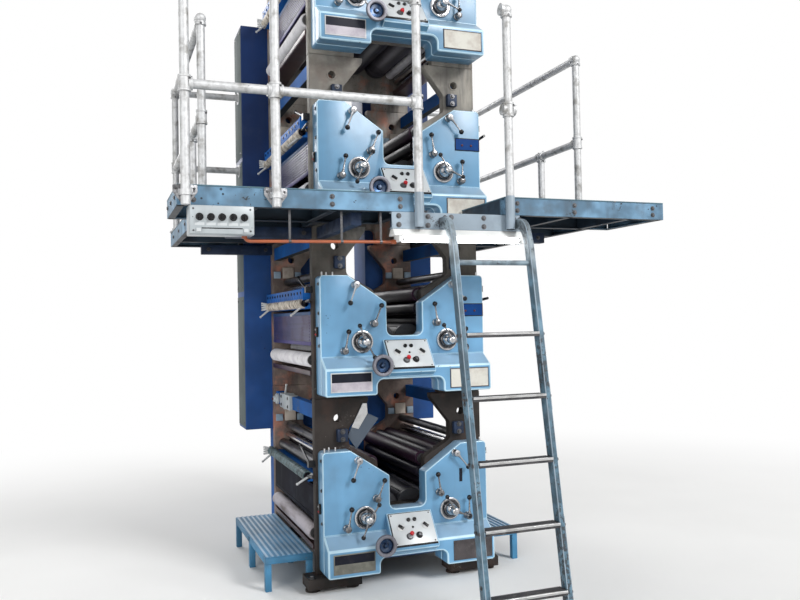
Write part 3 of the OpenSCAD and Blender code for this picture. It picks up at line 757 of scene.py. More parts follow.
def makeLatches(s):  # black catches on the sides of the covers, with a red and a bright button
    bodies, buttons = newMeshes(2)
    outer = cover["half"] + s.deep
    block(bodies, (cover["half"], outer), (s.y - s.half, s.y + s.half), (s.z, s.z + s.tall))
    for z, slot in s.buttons:
        lathe(buttons, [(.006, 0), (.006, .004), (0, .006)], (outer, s.y, s.z + z), right, 16, slot)
    makePiece("coverCatches", [soften(bodies, .003), buttons], ["blackPlastic", "redPlastic", "steel"],
              moves=everywhere)


flatScrew = [(.005, 0), (.005, .0015), (0, .0025)]
console = dict(half=.14, long=.208, thick=.004, start=.003, selectors=(-.079, .085), selectorY=.117, fittings=[
    # places, profile, steps, slot
    ([(-.018, .162), (.022, .162)], [(.0125, 0), (.0125, .004), (.010, .006), (.010, .011), (0, .012)], 24, 1),
    ([(-.079, .117), (.085, .117)], [(.024, 0), (.024, .003), (.019, .005), (0, .005)], 28, 2),
    ([(0, .113)], [(.007, 0), (.007, .002), (0, .003)], 16, 1),
    ([(-.034, .055)], [(.021, 0), (.021, .004), (.018, .008), (.017, .012), (0, .014)], 28, 4),
    ([(-.020, .068)], [(.013, 0), (.013, .020), (.011, .023), (0, .024)], 28, 3),
    ([(.030, .058)], [(.021, 0), (.021, .003), (.016, .006), (.015, .016), (.012, .018), (0, .018)], 28, 1),
    ([(.030, .058)], [(.009, .017), (.009, .0195), (0, .020)], 20, 4),
    ([(x, y) for x in (-.125, .125) for y in (.014, .198)], flatScrew, 12, 4)])


def onConsole(across, along, out=0):  # along x, up the slope, and out of it
    slope = Vector((0, cover["backY"] - cover["lipY"], cover["backZ"] - cover["lipZ"])).normalized()
    normal = Vector(right).cross(slope)
    return Vector((across, cover["lipY"], cover["lipZ"])) + slope * along + normal * out


def addConsoleBlock(mesh, xs, ys, zs, slot=0):
    nearVerts, farVerts = block(mesh, xs, ys, zs, slot)
    for vert in nearVerts + farVerts:
        vert.co = onConsole(*vert.co)


def makeConsoles(s):
    plates, fittings = newMeshes(2)
    t, half, normal = s.thick, s.half, onConsole(0, 0, 1) - onConsole(0, 0)
    addConsoleBlock(plates, (-half, half), (s.start, s.start + s.long), (.0002, t))
    for xs, ys in (((-half - .001, half + .001), (-.001, .0045)), ((-half - .0045, -half + .0015), (0, .211)),
                   ((-half, half), (.2085, .2125))):  # black rims: a dark edge, with painted shadow along the bottom and left of the raised plate
        addConsoleBlock(plates, xs, ys, (.0003, t + .0015), 1)
    # black band on the lip under the plate: gasket and painted shadow
    block(plates, (-half - .003, half + .002), (cover["lipY"] - .0030, cover["lipY"] + .001),
          (cover["lipZ"] - .006, cover["lipZ"] + .003), 1)
    for places, profile, steps, slot in s.fittings:
        for x, y in places:
            lathe(fittings, profile, onConsole(x, y, t), normal, steps, slot)
    tilt = Matrix.Rotation(math.radians(46), 4, normal)
    for x in s.selectors:  # black pointers
        pointer = bmesh.new()
        addConsoleBlock(pointer, (-.0075, .0075), (-.019, .019), (t + .004, t + .017), 1)
        for vert in pointer.verts:
            vert.co = onConsole(x, s.selectorY) + tilt @ (vert.co - onConsole(0, 0))
        addMesh(fittings, soften(pointer, .002))
    makePiece("controlPanels", [soften(plates, .0012), fittings],
              ["panelWhite", "blackPlastic", "plateLight", "redPlastic", "darkSteel"],
              ["control_plates"], eachUnit)


signs = dict(  # each sign's left, right, low and high
    thick=.004, rim=.006, left=(-.518, -.256, .141, .259), right=(.262, .530, .136, .260),
    horn=(.372, .548, .587, .670), slot=(.356, .377, .604, .689), knobs=(.422, .486), leftRim=(1, 0, 0, 0),
    leftLow=(1, 2, 2, 2), rightField=(4, 5, 5, 5))


def makePlates(s):  # blank plates in thin rims, with a dark upper band on the left ones
    plates, fields, knobs = newMeshes(3)
    r, t = s.rim, s.thick

    def addPlate(area, floor, y, slot, fieldSlots):
        x0, x1, z0, z1 = area
        block(plates, (x0, x1), (y - t, y), (z0 + floor, z1 + floor), slot)
        edges = [z0 + r, (z0 + z1) / 2, z1 - r] if len(fieldSlots) > 1 else [z0 + r, z1 - r]
        for low, high, fieldSlot in zip(edges, edges[1:], fieldSlots):
            block(fields, (x0 + r, x1 - r), (y - t - .0006, y - t + .001), (low + floor, high + floor), fieldSlot)

    for unit, floor in enumerate(floors):
        addPlate(s.left, floor, boxFront, s.leftRim[unit], (s.leftLow[unit], 3))
        addPlate(s.right, floor, boxFront, 4, (s.rightField[unit],))
        if unit == 0:  # a black strip in place of the horn plate: painted shade of a slot
            block(fields, s.slot[:2], (-.0012, .001), s.slot[2:], 3)
            continue
        addPlate(s.horn, floor, 0, 3, (6,))
        for x in s.knobs:
            lathe(knobs, [(.007, 0), (.007, .004), (.004, .007), (0, .0075)],
                  (x, -t, sum(s.horn[2:]) / 2 - r + floor), front, 16, 7)
    makePiece("blankPlates", [soften(plates, .0012), fields, knobs],
              ["plateLight", "plateOlive", "plateLilac", "plateInk", "plateBrown", "plateCream", "plateBlue",
               "knobBrown"], ["name_plates"])


# Dials, levers, cranks and wheels

dial = dict(
    x=.285, z=.44, ticks=40, tickRadius=.0618, tickSize=(.0016, .0008, .0034),
    ring=[(.071, 0), (.071, .008), (.069, .0115), (.064, .0135), (.0595, .0135), (.058, .0085)],
    dish=[(.0579, .0090), (.0500, .0080), (.0480, .0125), (.0450, .0190), (.040, .0218), (0, .0219)])


def makeDials(s):
    turned = bmesh.new()
    lathe(turned, s.ring, (s.x, 0, s.z), front, 64)
    # the dish is painted dark chrome: painted reflection
    lathe(turned, s.dish, (s.x, 0, s.z), front, 64, 1)
    makePiece("registerDials", [turned], ["chrome", "chromeDarkReflection"], ["register_dials"], everywhere)
    angles = [math.tau * i / s.ticks for i in range(s.ticks)]
    points = [(s.x + s.tickRadius * math.sin(a), -.0137, s.z + s.tickRadius * math.cos(a)) for a in angles]
    makeBars("dialTicks", points, (0, 0, .001), 1, s.tickSize, "blackPlastic", moves=everywhere)


def wayAt(angle):  # unit vector in the cover's plane, turned from straight up towards the right
    turn = math.radians(angle)
    return Vector((math.sin(turn), 0, math.cos(turn)))


def addArm(mesh, s, centre, angle, slot):  # an arm with its ball, the ball in the next slot
    way, start = wayAt(angle), centre + Vector((0, -s.plane, 0))
    lathe(mesh, s.arm, start, way, 16, slot)
    ball(mesh, start + way * s.long, s.ball, way, 28, slot + 1)


lever = dict(
    plane=.04, long=.12, ball=.016,
    # across, up, angles of the left and right ones
    kinds={"upper": (.326, .793, 200, 140), "middle": (.211, .551, 22, -9), "outer": (.404, .386, 11, 1)},
    hub=[(.023, .0003), (.023, .012), (.020, .014), (.020, .017), (.022, .019), (.022, .042), (.019, .047),
         (.0121, .0495), (0, .05)],
    cap=[(.004, .049), (.004, .0512), (0, .0518)],
    arm=[(.009, .0154), (.009, .028), (.0062, .034), (.0045, .100), (.008, .103), (.008, .110)])


def makeLevers(s):
    for kind, (x, z, *angles) in s.kinds.items():
        for unit, floor in enumerate(floors, 1):
            for side, word, angle in zip(sides, ("left", "right"), angles):
                hub, arm = newMeshes(2)
                centre = Vector((side * x, 0, z + floor))
                lathe(hub, s.hub, centre, front, 36)
                lathe(hub, s.cap, centre, front, 12, 2)
                addArm(arm, s, centre, angle, 0)
                node = f"{kind}_lever_{word}_{unit}"
                makePiece(f"{kind}Lever_{word}_{unit}", [hub, arm],
                          ["steel" if kind == "upper" else "leverSteel", "blackPlastic", "darkSteel"],
                          [node], body=node)


crank = dict(
    plane=.09, long=.108, ball=.014,
    left=[(36, 202), (-22, 151)], right=[(-30, 112), (-30, 112)],  # angles of both arms, on odd and even units
    hub=[(.037, .0223), (.037, .029), (.034, .038), (.027, .047), (.021, .053), (.021, .072), (.025, .076),
         (.025, .096), (.022, .104), (.014, .109), (0, .110)],
    arm=[(.011, .016), (.0105, .030), (.0062, .050), (.0050, .088), (.0075, .091), (.0075, .098)])


def makeCranks(s):
    for unit, floor in enumerate(floors):
        for side, word, angles in zip(sides, ("left", "right"), (s.left, s.right)):
            turned = bmesh.new()
            centre = Vector((side * dial["x"], 0, dial["z"] + floor))
            lathe(turned, s.hub, centre, front, 40)
            for angle in angles[unit % 2]:
                addArm(turned, s, centre, angle, 1)
            node = f"register_crank_{word}_{unit + 1}"
            makePiece(f"registerCrank_{word}_{unit + 1}", [turned], ["chrome", "leverSteel", "blackPlastic"],
                      [node], body=node)


wheel = dict(x=-.208, z=.298, profile=[
    (.014, .1183), (.014, .142), (.020, .146), (.055, .148), (.063, .152), (.067, .160), (.067, .174), (.064, .179),
    (.057, .180), (.0485, .178), (.0445, .170, 1), (.0385, .160, 1), (.018, .156, 1), (.013, .160, 1),
    (.011, .167, 1), (0, .168)])  # slot 1 is the dish


def makeWheels(s):
    for unit, floor in enumerate(floors, 1):
        turned = bmesh.new()
        lathe(turned, s.profile, (s.x, 0, s.z + floor), front, 56)
        name = f"handwheel_{unit}"
        makePiece(name, [turned], ["wheelRim", "wheelDish"], [name], body=name)


# Cylinders and rollers

rollers = dict(
    end=.02, cylinder=.0952, journal=.022, pin=.014,
    cylinders=[(.0955, .452, 2), (.2865, .440, 1)],  # across, up, slot
    # across, up, radius, finish
    inkers=[(.231, .563, .036, "rubber"), (.340, .563, .036, "rubber"), (.285, .625, .046, "drum"),
            (.176, .648, .038, "rubber"), (.357, .662, .034, "rubber"), (.176, .738, .046, "drum"),
            (.262, .755, .034, "rubber"), (.343, .760, .044, "drum"), (.428, .748, .034, "rubber"),
            (.463, .802, .026, "bright"), (.503, .735, .038, "dull"), (.455, .872, .028, "dull")],
    dampers=[(.4052, .383, .036, "sleeve"), (.466, .338, .035, "bright"), (.550, .328, .046, "sleeve")])
rollerFinishes = {"rubber": "inkRubber", "drum": "inkDrum", "bright": "chrome", "sleeve": "whiteSleeve",
                  "dull": "darkSteel", "wornAndShaded": "greySleeve"}


def addRoller(mesh, s, x, z, radius, kind):
    length, pinSlot = driveFront - frameBack, list(rollerFinishes).index("dull")
    soft = .006 if kind in ("sleeve", "rubber", "wornAndShaded") else .0025
    half = [(radius - soft, s.end), (radius, s.end + soft)]
    lathe(mesh, half + [(r, length - way) for r, way in half[::-1]], (x, frameBack, z), back, 36,
          list(rollerFinishes).index(kind))
    for near, far, pin, steps in ((0, s.end + .002, s.pin, 20), (length - s.end - .002, length, s.pin, 20),
                                  (s.end * .5, s.end + .001, radius * .72, 28)):
        tube(mesh, (x, frameBack + near, z), (x, frameBack + far, z), pin, steps=steps, slot=pinSlot)


def makeRollers(s):
    for name, rows, slot, node in (("inkTrain", s.inkers, "ink_rubber", "ink_rollers"),
                                   ("dampeners", s.dampers, "damper_white", "dampening_rollers")):
        train = bmesh.new()
        for side, floor in everywhere:
            for x, z, radius, kind in rows:
                # the lowest sleeves are grey: worn, and darker as painted shade
                wornAndShaded = kind == "sleeve" and floor == 0
                addRoller(train, s, side * x, z + floor, radius, "wornAndShaded" if wornAndShaded else kind)
        makePiece(name, [train], rollerFinishes.values(), [node])


def makeCylinders(s):
    turned, bars = newMeshes(2)
    length, r = driveFront - frameBack, s.cylinder
    low = r - .004  # the body, below the rings at its ends
    ring = [(r - .003, .02), (r, .023), (r, .048), (low, .050), (low, .056)]
    body = [(low, .055), (r - .0012, .057), (r - .0012, length - .057), (low, length - .055)]
    for x, z, bodySlot in s.cylinders:
        for profile, slot in ((ring, 0), (body, bodySlot), ([(a, length - b) for a, b in ring[::-1]], 0)):
            lathe(turned, profile, (x, frameBack, z), back, 72, slot)
        for near in (0, length - .022):
            tube(turned, (x, frameBack + near, z), (x, frameBack + near + .022, z), s.journal, steps=28)
        lock = Vector((x, 0, z)) + wayAt(-38) * (r - .0025)
        block(bars, (lock.x - .004, lock.x + .004), (frameBack + .06, driveFront - .06),
              (lock.z - .004, lock.z + .0035), 3)
    makePiece("printingCylinders", [turned, bars], ["inkSteel", "cylinderPlate", "blanket", "darkSteel"],
              ["printing_cylinders"], everywhere)


# Fountains, pans and guards on the open sides

fountain = dict(
    keyX=.597, keyZ=.686, keyRadius=.0315, keyPitch=.0285, bolts=13, bars=18, splay=(-.022, -.004, .014, .030),
    blade=[(.480, .652), (.597, .654), (.597, .688), (.480, .688)],
    trough=[(.548, .7185), (.548, .778), (.554, .778), (.556, .728), (.606, .728), (.608, .778), (.612, .778),
            (.612, .706), (.590, .706)],
    end=[(.547, .722), (.613, .712), (.613, .784), (.547, .784)])


def makeFountains(s):
    blades, troughs, ink, handles = newMeshes(4)
    y0, y1 = gapFront, gapBack
    slab(blades, s.blade, y0, y1)
    tube(blades, (s.keyX, y0, s.keyZ), (s.keyX, y1, s.keyZ), .025, slot=1)
    slab(troughs, s.trough, y0, y1)
    for y in (y0 + .001, y1 - .009):
        slab(troughs, s.end, y, y + .008)
    block(ink, (.5555, .6065), (y0 + .004, y1 - .004), (.7275, .7445), 1)
    for side, floor in everywhere:
        def at(x, y, z):
            return side * x, y, z + floor
        for y in (y0 + .07, y1 - .05):  # white handles under the row of keys, one beside the frame
            root, tip = at(.606, y, .664), at(.668, y + .012, .612)
            if (side, floor) == everywhere[0] and y < y0 + .1:
                root, tip = at(.570, y - .085, .702), at(.666, y - .075, .645)
            tube(handles, root, tip, .0078, .0066, 14)
            ball(handles, tip, .0088, up, 14)
        for rise in s.splay:  # splayed ends of the far keys
            tube(handles, at(.602, y1 - .03, s.keyZ + rise * .6), at(.656, y1 - .012, s.keyZ + rise), .0085,
                 .0065, 12)
        tube(handles, at(.6, .340, .678), at(.602, .030, .704), .0105, .0085, 14, 1)  # black arm
        ball(handles, at(.604, .345, .678), .021, back, 18, 1)
        block(handles, (side * .566, side * .608), (.112, .150), (.750 + floor, .790 + floor), 1)
        tube(handles, at(.6, .140, .778), at(.6, .345, .853), .0085, .007, 14, 2)
        ball(handles, at(.6, .345, .853), .013, back, 16, 1)
    withTrough = everywhere[1:]  # the lowest left one has none
    meshes = [copied(soften(blades, .002, 1), everywhere), copied(soften(troughs, .0015), withTrough),
              copied(ink, withTrough)]
    makePiece("inkFountains", meshes, ["fountainBlue", "inkRubber"], ["ink_fountains"])
    makePiece("fountainHandles", [handles], ["plateLight", "blackPlastic", "darkSteel"])
    keys = [((s.keyX, y, s.keyZ), back) for y in spaced(y0 + .016, y1 - .01, s.keyPitch)]
    for name, label, moves in (("inkKeysLow", "keyTeal", lowest), ("inkKeys", "keyCream", upper)):
        makeFasteners(name, keys, s.keyRadius, .0205, label, .0275, 18, moves)
    bolts = [((.6135, y, .752), right) for y in evenly(y0 + .05, y1 - .05, s.bolts)]
    makeFasteners("troughBolts", bolts, .008, .005, "blackPlastic", .011, 10, withTrough)
    bars = [(.6125, y, .722) for y in evenly(y0 + .04, y1 - .04, s.bars)]
    makeBars("troughBars", bars, (0, 0, .03), 1, (.003, .020, .024), "fountainBlue",
             moves=withTrough)


tieClamp = dict(
    xs=(-.572, -.508), zs=(1.034, 1.136), ys=(.7842, 1.092), hubY=1.1832,
    hub=[(.040, 0), (.040, .014), (.036, .019), (.024, .021), (.022, .034), (.018, .038), (0, .039)],
    knob=[(.009, 0), (.009, .006), (.006, .009), (0, .0095)])


def makeTieClamp(s):  # grey clamp and round hub on the lowest left tie bar
    (x0, x1), (y0, y1), (z0, z1) = s.xs, s.ys, s.zs
    x, y, z = (x0 + x1) / 2, (y0 + y1) / 2, (z0 + z1) / 2
    body, turned = newMeshes(2)
    block(body, s.xs, s.ys, s.zs)
    block(body, (x0 - .006, x1 + .006), (y - .012, y + .012), (z0 - .005, z1 + .005))
    lathe(turned, s.hub, (x0 + .008, s.hubY, z), left)
    lathe(turned, s.knob, (x0 - .030, s.hubY, z), left, 18, 2)
    tip = (x - .004, y1 - .10, z1 + .062)
    tube(turned, (x, y1 - .04, z1 - .004), tip, .0075, .006, 14, 1)
    ball(turned, tip, .0085, up, 14, 1)
    makePiece("tieClamp", [soften(body, .003), turned], ["boxGrey", "plateLight", "knobBrown"])
    screws = [((x0, y, z), left) for y in (y0 + .05, y1 - .05) for z in (z0 + .022, z1 - .022)]
    makeFasteners("tieClampScrews", screws, .009, .007, "darkSteel", .013)


pan = dict(inner=.440, outer=.572, low=.228, high=.262, rim=.006, bottom=.012)


def makePans(s):
    pans, brim = bmesh.new(), s.high - s.bottom
    slab(pans, roundOutline([
        (s.inner, s.low, .012), (s.outer, s.low, .012), (s.outer, s.high), (s.outer - s.rim, s.high),
        (s.outer - s.rim, brim), (s.inner + s.rim, brim), (s.inner + s.rim, s.high), (s.inner, s.high)]),
        gapFront, gapBack)
    makePiece("waterPans", [soften(pans, .0015, 1)], ["panBrown"], ["water_pans"], everywhere)


guard = dict(
    outer=.564, thick=.008, low=.419, high=.634, ribs=9, ribStep=.018,
    plate=[(.088, .156), (.115, .154), (.120, .091), (.193, .055), (.043, -.130), (-.014, -.045), (.013, .009)])


def makeGuards(s):
    inner, meshes = s.outer - s.thick, []
    # the lowest guards are near black all over: painted shade
    for moves, sheetSlot, lowSlot, topSlot in ((lowest, 3, 3, 3), (upper, 0, 2, 1)):
        sheet, rails = newMeshes(2)
        block(sheet, (inner + .001, s.outer - .001), (gapFront, gapBack), (s.low, s.high), sheetSlot)
        for zs, slot in (((s.low, s.low + .024), lowSlot), ((s.high - .022, s.high), topSlot)):
            block(rails, (inner - .002, s.outer + .002), (gapFront + .001, gapBack - .001), zs, slot)
        meshes += [copied(soften(sheet, .002, 1), moves), copied(soften(rails, .003), moves)]
    bent = bmesh.new()  # the bent plate left of the lowest window
    outline = [(-casting["window"] + a, casting["windowHigh"] + b) for a, b in s.plate]
    slab(bent, outline, frameFront - .010, frameFront - .0002, slot=4)
    (x, z), last = outline[2], outline[6]
    slab(bent, [*outline[:3], (x - .062, z - .096), last], frameFront - .014, frameFront - .009, slot=5)
    makePiece("sideGuards", meshes + [soften(bent, .001, 1)],
              ["guardSheet", "guardTop", "guardLow", "guardInShade", "slate", "nosing"],
              ["roller_guards"])
    ribs = [(s.outer + .001, (gapFront + gapBack) / 2, s.low + 2 * s.ribStep)]
    makeBars("guardRibs", ribs, (0, 0, s.ribStep), s.ribs, (.0035, gapBack - gapFront - .06, .006), "guardSheet",
             moves=upper)


# Drive side

housing = dict(
    half=.77, gap=.2, low=.84, top=3.93, depth=.3, doors=3, doorGap=.02, doorEdge=.025, hingeEnd=.12,
    latch=[(.018, 0), (.018, .004), (.013, .006), (.013, .010), (0, .011)], louvres=8, louvreStart=.12,
    louvreStep=.032, louvre=(.34, .010, .012), louvreTilt=-25, gearHalf=.545, gearDepth=.21,
    rounds=[(-.28, .44, .10), (.28, .44, .10), (0, .62, .07)], gearBolts=(-.49, -.25, 0, .25, .49))


def makeHousing(s):
    shells, doors, latches, hinges, gears, lids, rounds = newMeshes(7)
    spots, louvres = [], []
    y0, y1 = driveBack + .0005, driveBack + s.depth
    tall = (s.top - s.low) / s.doors
    block(shells, (s.gap, s.half), (y0, y1 - .004), (s.low, s.top))
    for i in range(s.doors):
        z0, z1 = s.low + tall * i + s.doorGap, s.low + tall * (i + 1) - s.doorGap
        block(doors, (s.gap + s.doorEdge, s.half - s.doorEdge), (y1 - .006, y1), (z0, z1))
        block(doors, (s.half - .002, s.half + .003), (y0 + .008, y1 - .012), (z0, z1), 2)
        louvres.append(((s.gap + s.half) / 2, y1 + .002, z0 + s.louvreStart))
        for side in sides:
            x = side * (s.half - .02)
            for z in (z0 + s.hingeEnd, z1 - s.hingeEnd):
                tube(hinges, (x, y1 + .003, z - .04), (x, y1 + .003, z + .04), .008, steps=14)
        lathe(latches, s.latch, (s.gap + .06, y1 - .001, (z0 + z1) / 2), back, 24)
        spots += [((x, y1 + .001, z), back) for x in (s.gap + .045, s.half - .045) for z in (z0 + .02, z1 - .02)]
        spots += [((s.half + .003, y, z), right) for z in (z0 + .03, z1 - .03) for y in (y0 + .045, y1 - .045)]
    g, h = y0 + s.gearDepth, s.gearHalf
    block(gears, (-h, h), (y0, g - .004), (base + .001, s.low - .001), 1)
    block(lids, (-h + .03, h - .03), (g - .006, g), (base + .04, s.low - .04), 1)
    spots = copiedSpots(spots, bothSides)
    for x, z, r in s.rounds:
        lathe(rounds, [(r, 0), (r, .004), (r - .008, .008), (r * .5, .008), (r * .45, .005), (0, .005)],
              (x, g - .001, z), back, 48, 1)
        for i in range(6):
            bolt = wayAt(90 - 60 * i) * (r - .015)
            spots.append(((x + bolt.x, g + .007, z + bolt.z), back))
    spots += [((x, g + .001, z), back) for x in s.gearBolts for z in (.16, .77)]
    meshes = [soften(shells, .006, 3), soften(doors, .0025), latches]
    makePiece("driveHousing", [copied(mesh, bothSides) for mesh in meshes] + [
        soften(gears, .006, 3), soften(lids, .0025), rounds, hinges],
        ["deepBlue", "tieBlue", "housingGrey"], ["drive_housing"])
    makeFasteners("housingScrews", spots, .0075, .006, "darkSteel", .011)
    makeBars("housingLouvres", louvres, (0, 0, s.louvreStep), s.louvres, s.louvre, "deepBlue",
             (math.radians(s.louvreTilt), 0, 0), bothSides)


# Platform

deck = dict(
    hatches=[(1, .355), (-1, .2)], front=-.7, innerBack=-.12, back=1.56, half=1.45, side=1.29, walkInner=.575,
    housingInner=.775, channel=.04, web=.007, plate=.008, joist=.42, endBolts=(-.60, -.40, -.2),
    sideBolts=(.1, .5, .9, 1.3))


def channelSection(start, low, high, opens):  # C section with its web at the start
    wide, thick = deck["channel"], deck["web"]
    return [(start + opens * a, low + b) for a, b in (
        (0, 0), (wide, 0), (wide, thick), (thick, thick * 1.6), (thick, high - thick * 1.6), (wide, high - thick),
        (wide, high), (0, high))]


def addChannel(mesh, axis, start, stop, at, opens):
    section = channelSection(at, deckLow, deckTop - deck["plate"] - deckLow, opens)
    slab(mesh, section, start, stop, axis)


def makeDecks(s):
    channels, plates, spots = *newMeshes(2), []
    driveEnd, zs = driveBack - .005, (deckTop - s.plate, deckTop)
    for side, hatch in s.hatches:
        steel, floorPlates = newMeshes(2)
        for xs, ys in (((hatch, s.half), (s.front, s.innerBack)),
                       ((s.walkInner, s.side), (s.innerBack + .0008, driveEnd)),
                       ((s.housingInner, s.side), (driveEnd + .0008, s.back))):
            block(floorPlates, xs, ys, zs, 1)
        joists = [(x, 1) for x in spaced(hatch + s.joist, s.half - s.joist / 2, s.joist)]
        for x, opens in [(hatch, 1), (s.half, -1)] + joists:
            addChannel(steel, "y", s.front + .008, s.innerBack - .008, x, opens)
        for start, stop, x, opens in ((s.innerBack, s.back, s.side, -1), (s.innerBack, driveEnd, s.walkInner, 1),
                                      (driveEnd, s.back, s.housingInner, 1)):
            addChannel(steel, "y", start, stop, x, opens)
        joists = [(s.walkInner + .008, s.side - .008, y, 1)
                  for y in spaced(s.innerBack + s.joist, driveEnd - .04, s.joist)]
        for start, stop, y, opens in [
                (hatch, s.half, s.front, 1), (hatch + .008, s.half - .008, s.innerBack, -1),
                (s.housingInner + .008, s.side - .008, s.back, -1)] + joists:
            addChannel(steel, "x", start, stop, y, opens)
        for whole, part in ((channels, steel), (plates, floorPlates)):
            addMesh(whole, copied(part, [(side, 0)]))
        bolts = [((x, s.front - .001, z), front) for x in (hatch + .08, hatch + .46, s.half - .08)
                 for z in (deckLow + .028, deckTop - .036)]
        bolts += [((s.half + .001, y, deckLow + .05), right) for y in s.endBolts]
        bolts += [((s.side + .001, y, deckLow + .05), right) for y in s.sideBolts]
        bolts += [((hatch + .08 + .27 * i, y, deckTop), up)
                  for y in (s.front + .06, s.innerBack - .06) for i in range(4)]
        spots += copiedSpots(bolts, [(side, 0)])
    makePiece("platform", [soften(channels, .002, 1), soften(plates, .0015, 1)], ["deckBlue", "floorPlate"],
              ["decks"])
    makeFasteners("platformBolts", spots, .009, .009, "darkSteel", .014)


beam = dict(left=-.33, right=.45, high=.092, bolts=(-.29, -.12, .02, .22, .41))


def makeBeam(s):
    webs, plates = newMeshes(2)
    y, low, zs = deck["front"], deckLow - s.high, (deckLow - .07, deckLow - .0005)
    slab(webs, channelSection(y, low, s.high, 1), s.left, s.right, "x")
    for x in (s.left + .04, s.right - .08):
        block(plates, (x, x + .04), (y + .0395, y + .14), zs, 1)
    spots = [((x, y - .001, low + z), front) for x in s.bolts for z in (.022, .070)]
    for side in sides:
        x = side * (frameHalf - .06)
        block(plates, (x - .03, x + .03), (y + .08, frameFront), zs, 1)
        for near in (frameFront, driveFront):
            block(plates, (side * frameHalf, side * (deck["side"] - .2)), (near, near + .07), zs, 1)
            spots += [((side * x, near - .001, deckLow - .035), front)
                      for x in (frameHalf + .05, deck["side"] - .25)]
    makePiece("hatchBeam", [soften(webs, .002, 1), soften(plates, .003)], ["beamGrey", "blockDark"],
              ["deck_beam"])
    makeFasteners("beamBolts", spots, .010, .010, "darkSteel", .015)


rail = dict(
    tube=.024, inner=.0245, clamp=.030, rim=.0325, top=1.06, middle=.49, y=-.728, half=.04,
    posts=[-1.41, -.96, -.18, .375], postArms=[[right], [left, right], [left], [left]], sideX=1.25,
    sidePosts=[-.08, .4, 1.52], below=.085, footScrews=.038,
    flange=[(.048, 0), (.048, .007), (.0325, .009), (.0325, .028), (.0245, .028)],
    foot=[(.050, .0002), (.050, .008), (.0325, .011), (.0325, .032), (.0245, .032)])


def addFitting(mesh, screws, centre, arms, upright=True):
    s = SimpleNamespace(**rail)
    centre, h = Vector(centre), s.half
    if upright:
        lathe(mesh, [(s.inner, -h), (s.rim, -h), (s.rim, -h + .010), (s.clamp, -h + .013), (s.clamp, h - .013),
                     (s.rim, h - .010), (s.rim, h), (s.inner, h)], centre, up, 28)
        screws.append((centre + Vector((.0215, -.0215, .022)), (.707, -.707, 0)))
    else:
        ball(mesh, centre, s.clamp + .0015)
    for way in arms:
        lathe(mesh, [(s.clamp, 0), (s.clamp, h - .031), (s.rim, h - .029), (s.rim, h - .020)],
              centre + Vector(way) * .020, way, 28)
        lift = Vector(front if way == down else up)
        screws.append((centre + Vector(way) * (h - .006) + lift * .031, lift))


def makeRails(s):
    tubes, fittings, plates, sleeves, screws = *newMeshes(4), []
    top, edge = deckTop, deck["front"]

    def addRail(start, end):
        tube(tubes, start, end, s.tube, steps=28)

    for i, (x, arms) in enumerate(zip(s.posts, s.postArms)):
        painted = x > beam["left"]  # stands on the beam, with its lower part painted
        low = deckLow - (s.below if painted else 0)
        addRail((x, s.y, low), (x, s.y, top + s.top))
        addFitting(fittings, screws, (x, s.y, top + s.top), arms + [down], False)
        addFitting(fittings, screws, (x, s.y, top + s.middle), arms + ([right] if i == 3 else []))
        if painted:
            lathe(sleeves, [(.0242, 0), (.0262, .001), (.0262, top - low - .004), (.0250, top - low),
                            (.0242, top - low)], (x, s.y, low), up, 28, 2)
            continue
        shield = roundOutline([
            (x - .060, top - .004, .008), (x + .060, top - .004, .008), (x + .060, top - .042, .02),
            (x + .020, deckLow + .010, .012), (x - .020, deckLow + .010, .012), (x - .060, top - .042, .02)])
        slab(plates, shield, edge - .0078, edge - .0002, slot=1)
        for dx, z in ((-.045, top - .024), (.045, top - .024), (0, deckLow + .022)):
            screws.append(((x + dx, edge - .009, z), front))
        for bandX in (x - .030, x + .030):  # clamp band round the post
            block(plates, (bandX - .006, bandX + .006), (s.y - .004, edge - .006), (top - .062, top - .030), 1)
        lathe(fittings, [(s.inner, -.014), (s.rim - .002, -.014), (s.rim - .002, .014), (s.inner, .014)],
              (x, s.y, top - .046), up, 28)
    for h, stops in ((s.middle, s.sidePosts), (s.top, s.sidePosts[::2])):
        for x0, x1 in zip(s.posts[:2], s.posts[1:3]):
            addRail((x0 + .02, s.y, top + h), (x1 - .02, s.y, top + h))
        for side in sides:
            x, last = side * s.sideX, s.sidePosts[2]
            addRail((side * (s.sideX - .02), last, top + h), (side * (housing["half"] + .004), last, top + h))
            lathe(fittings, s.flange, (side * (housing["half"] + .0005), last, top + h), (side, 0, 0))
            for y0, y1 in zip(stops, stops[1:]):
                addRail((x, y0 + .02, top + h), (x, y1 - .02, top + h))
    for side in sides:
        ways = [[back], [front, back], [front, (-side, 0, 0)]]
        x = side * s.sideX
        for y, arms, heights in zip(s.sidePosts, ways, ((s.middle, s.top), (s.middle,), (s.middle, s.top))):
            addRail((x, y, top), (x, y, top + heights[-1]))
            for h in heights:
                last = h == heights[-1]
                addFitting(fittings, screws, (x, y, top + h), arms + [down] * last, not last)
            lathe(fittings, s.foot, (x, y, top), up)
            for out in (-s.footScrews, s.footScrews):
                screws += [((x + out, y, top + .009), up), ((x, y + out, top + .009), up)]
    makePiece("railPosts", [tubes, fittings, soften(plates, .002), sleeves],
              ["galvanised", "clampMetal", "beamGrey"], ["rail_posts", "rails"])
    makeFasteners("railScrews", screws, .0065, .007, "darkSteel")


# Ladder

ladder = dict(
    x=.19, wide=.43, foot=-1.2, lean=.17, stileW=.03, stileD=.06, treads=5, first=.262, pitch=.328, deep=.08,
    thick=.024, rung=1.95, rungRadius=.014, bend=2.05, splices=[(.02, .62), (1.16, 1.30)],
    nosing=[(0, -.011), (.0045, -.011), (.0045, -.003), (.012, -.001), (.012, .0012), (.002, .0012), (0, -.001)])


def ladderY(z):
    return ladder["foot"] + ladder["lean"] * z


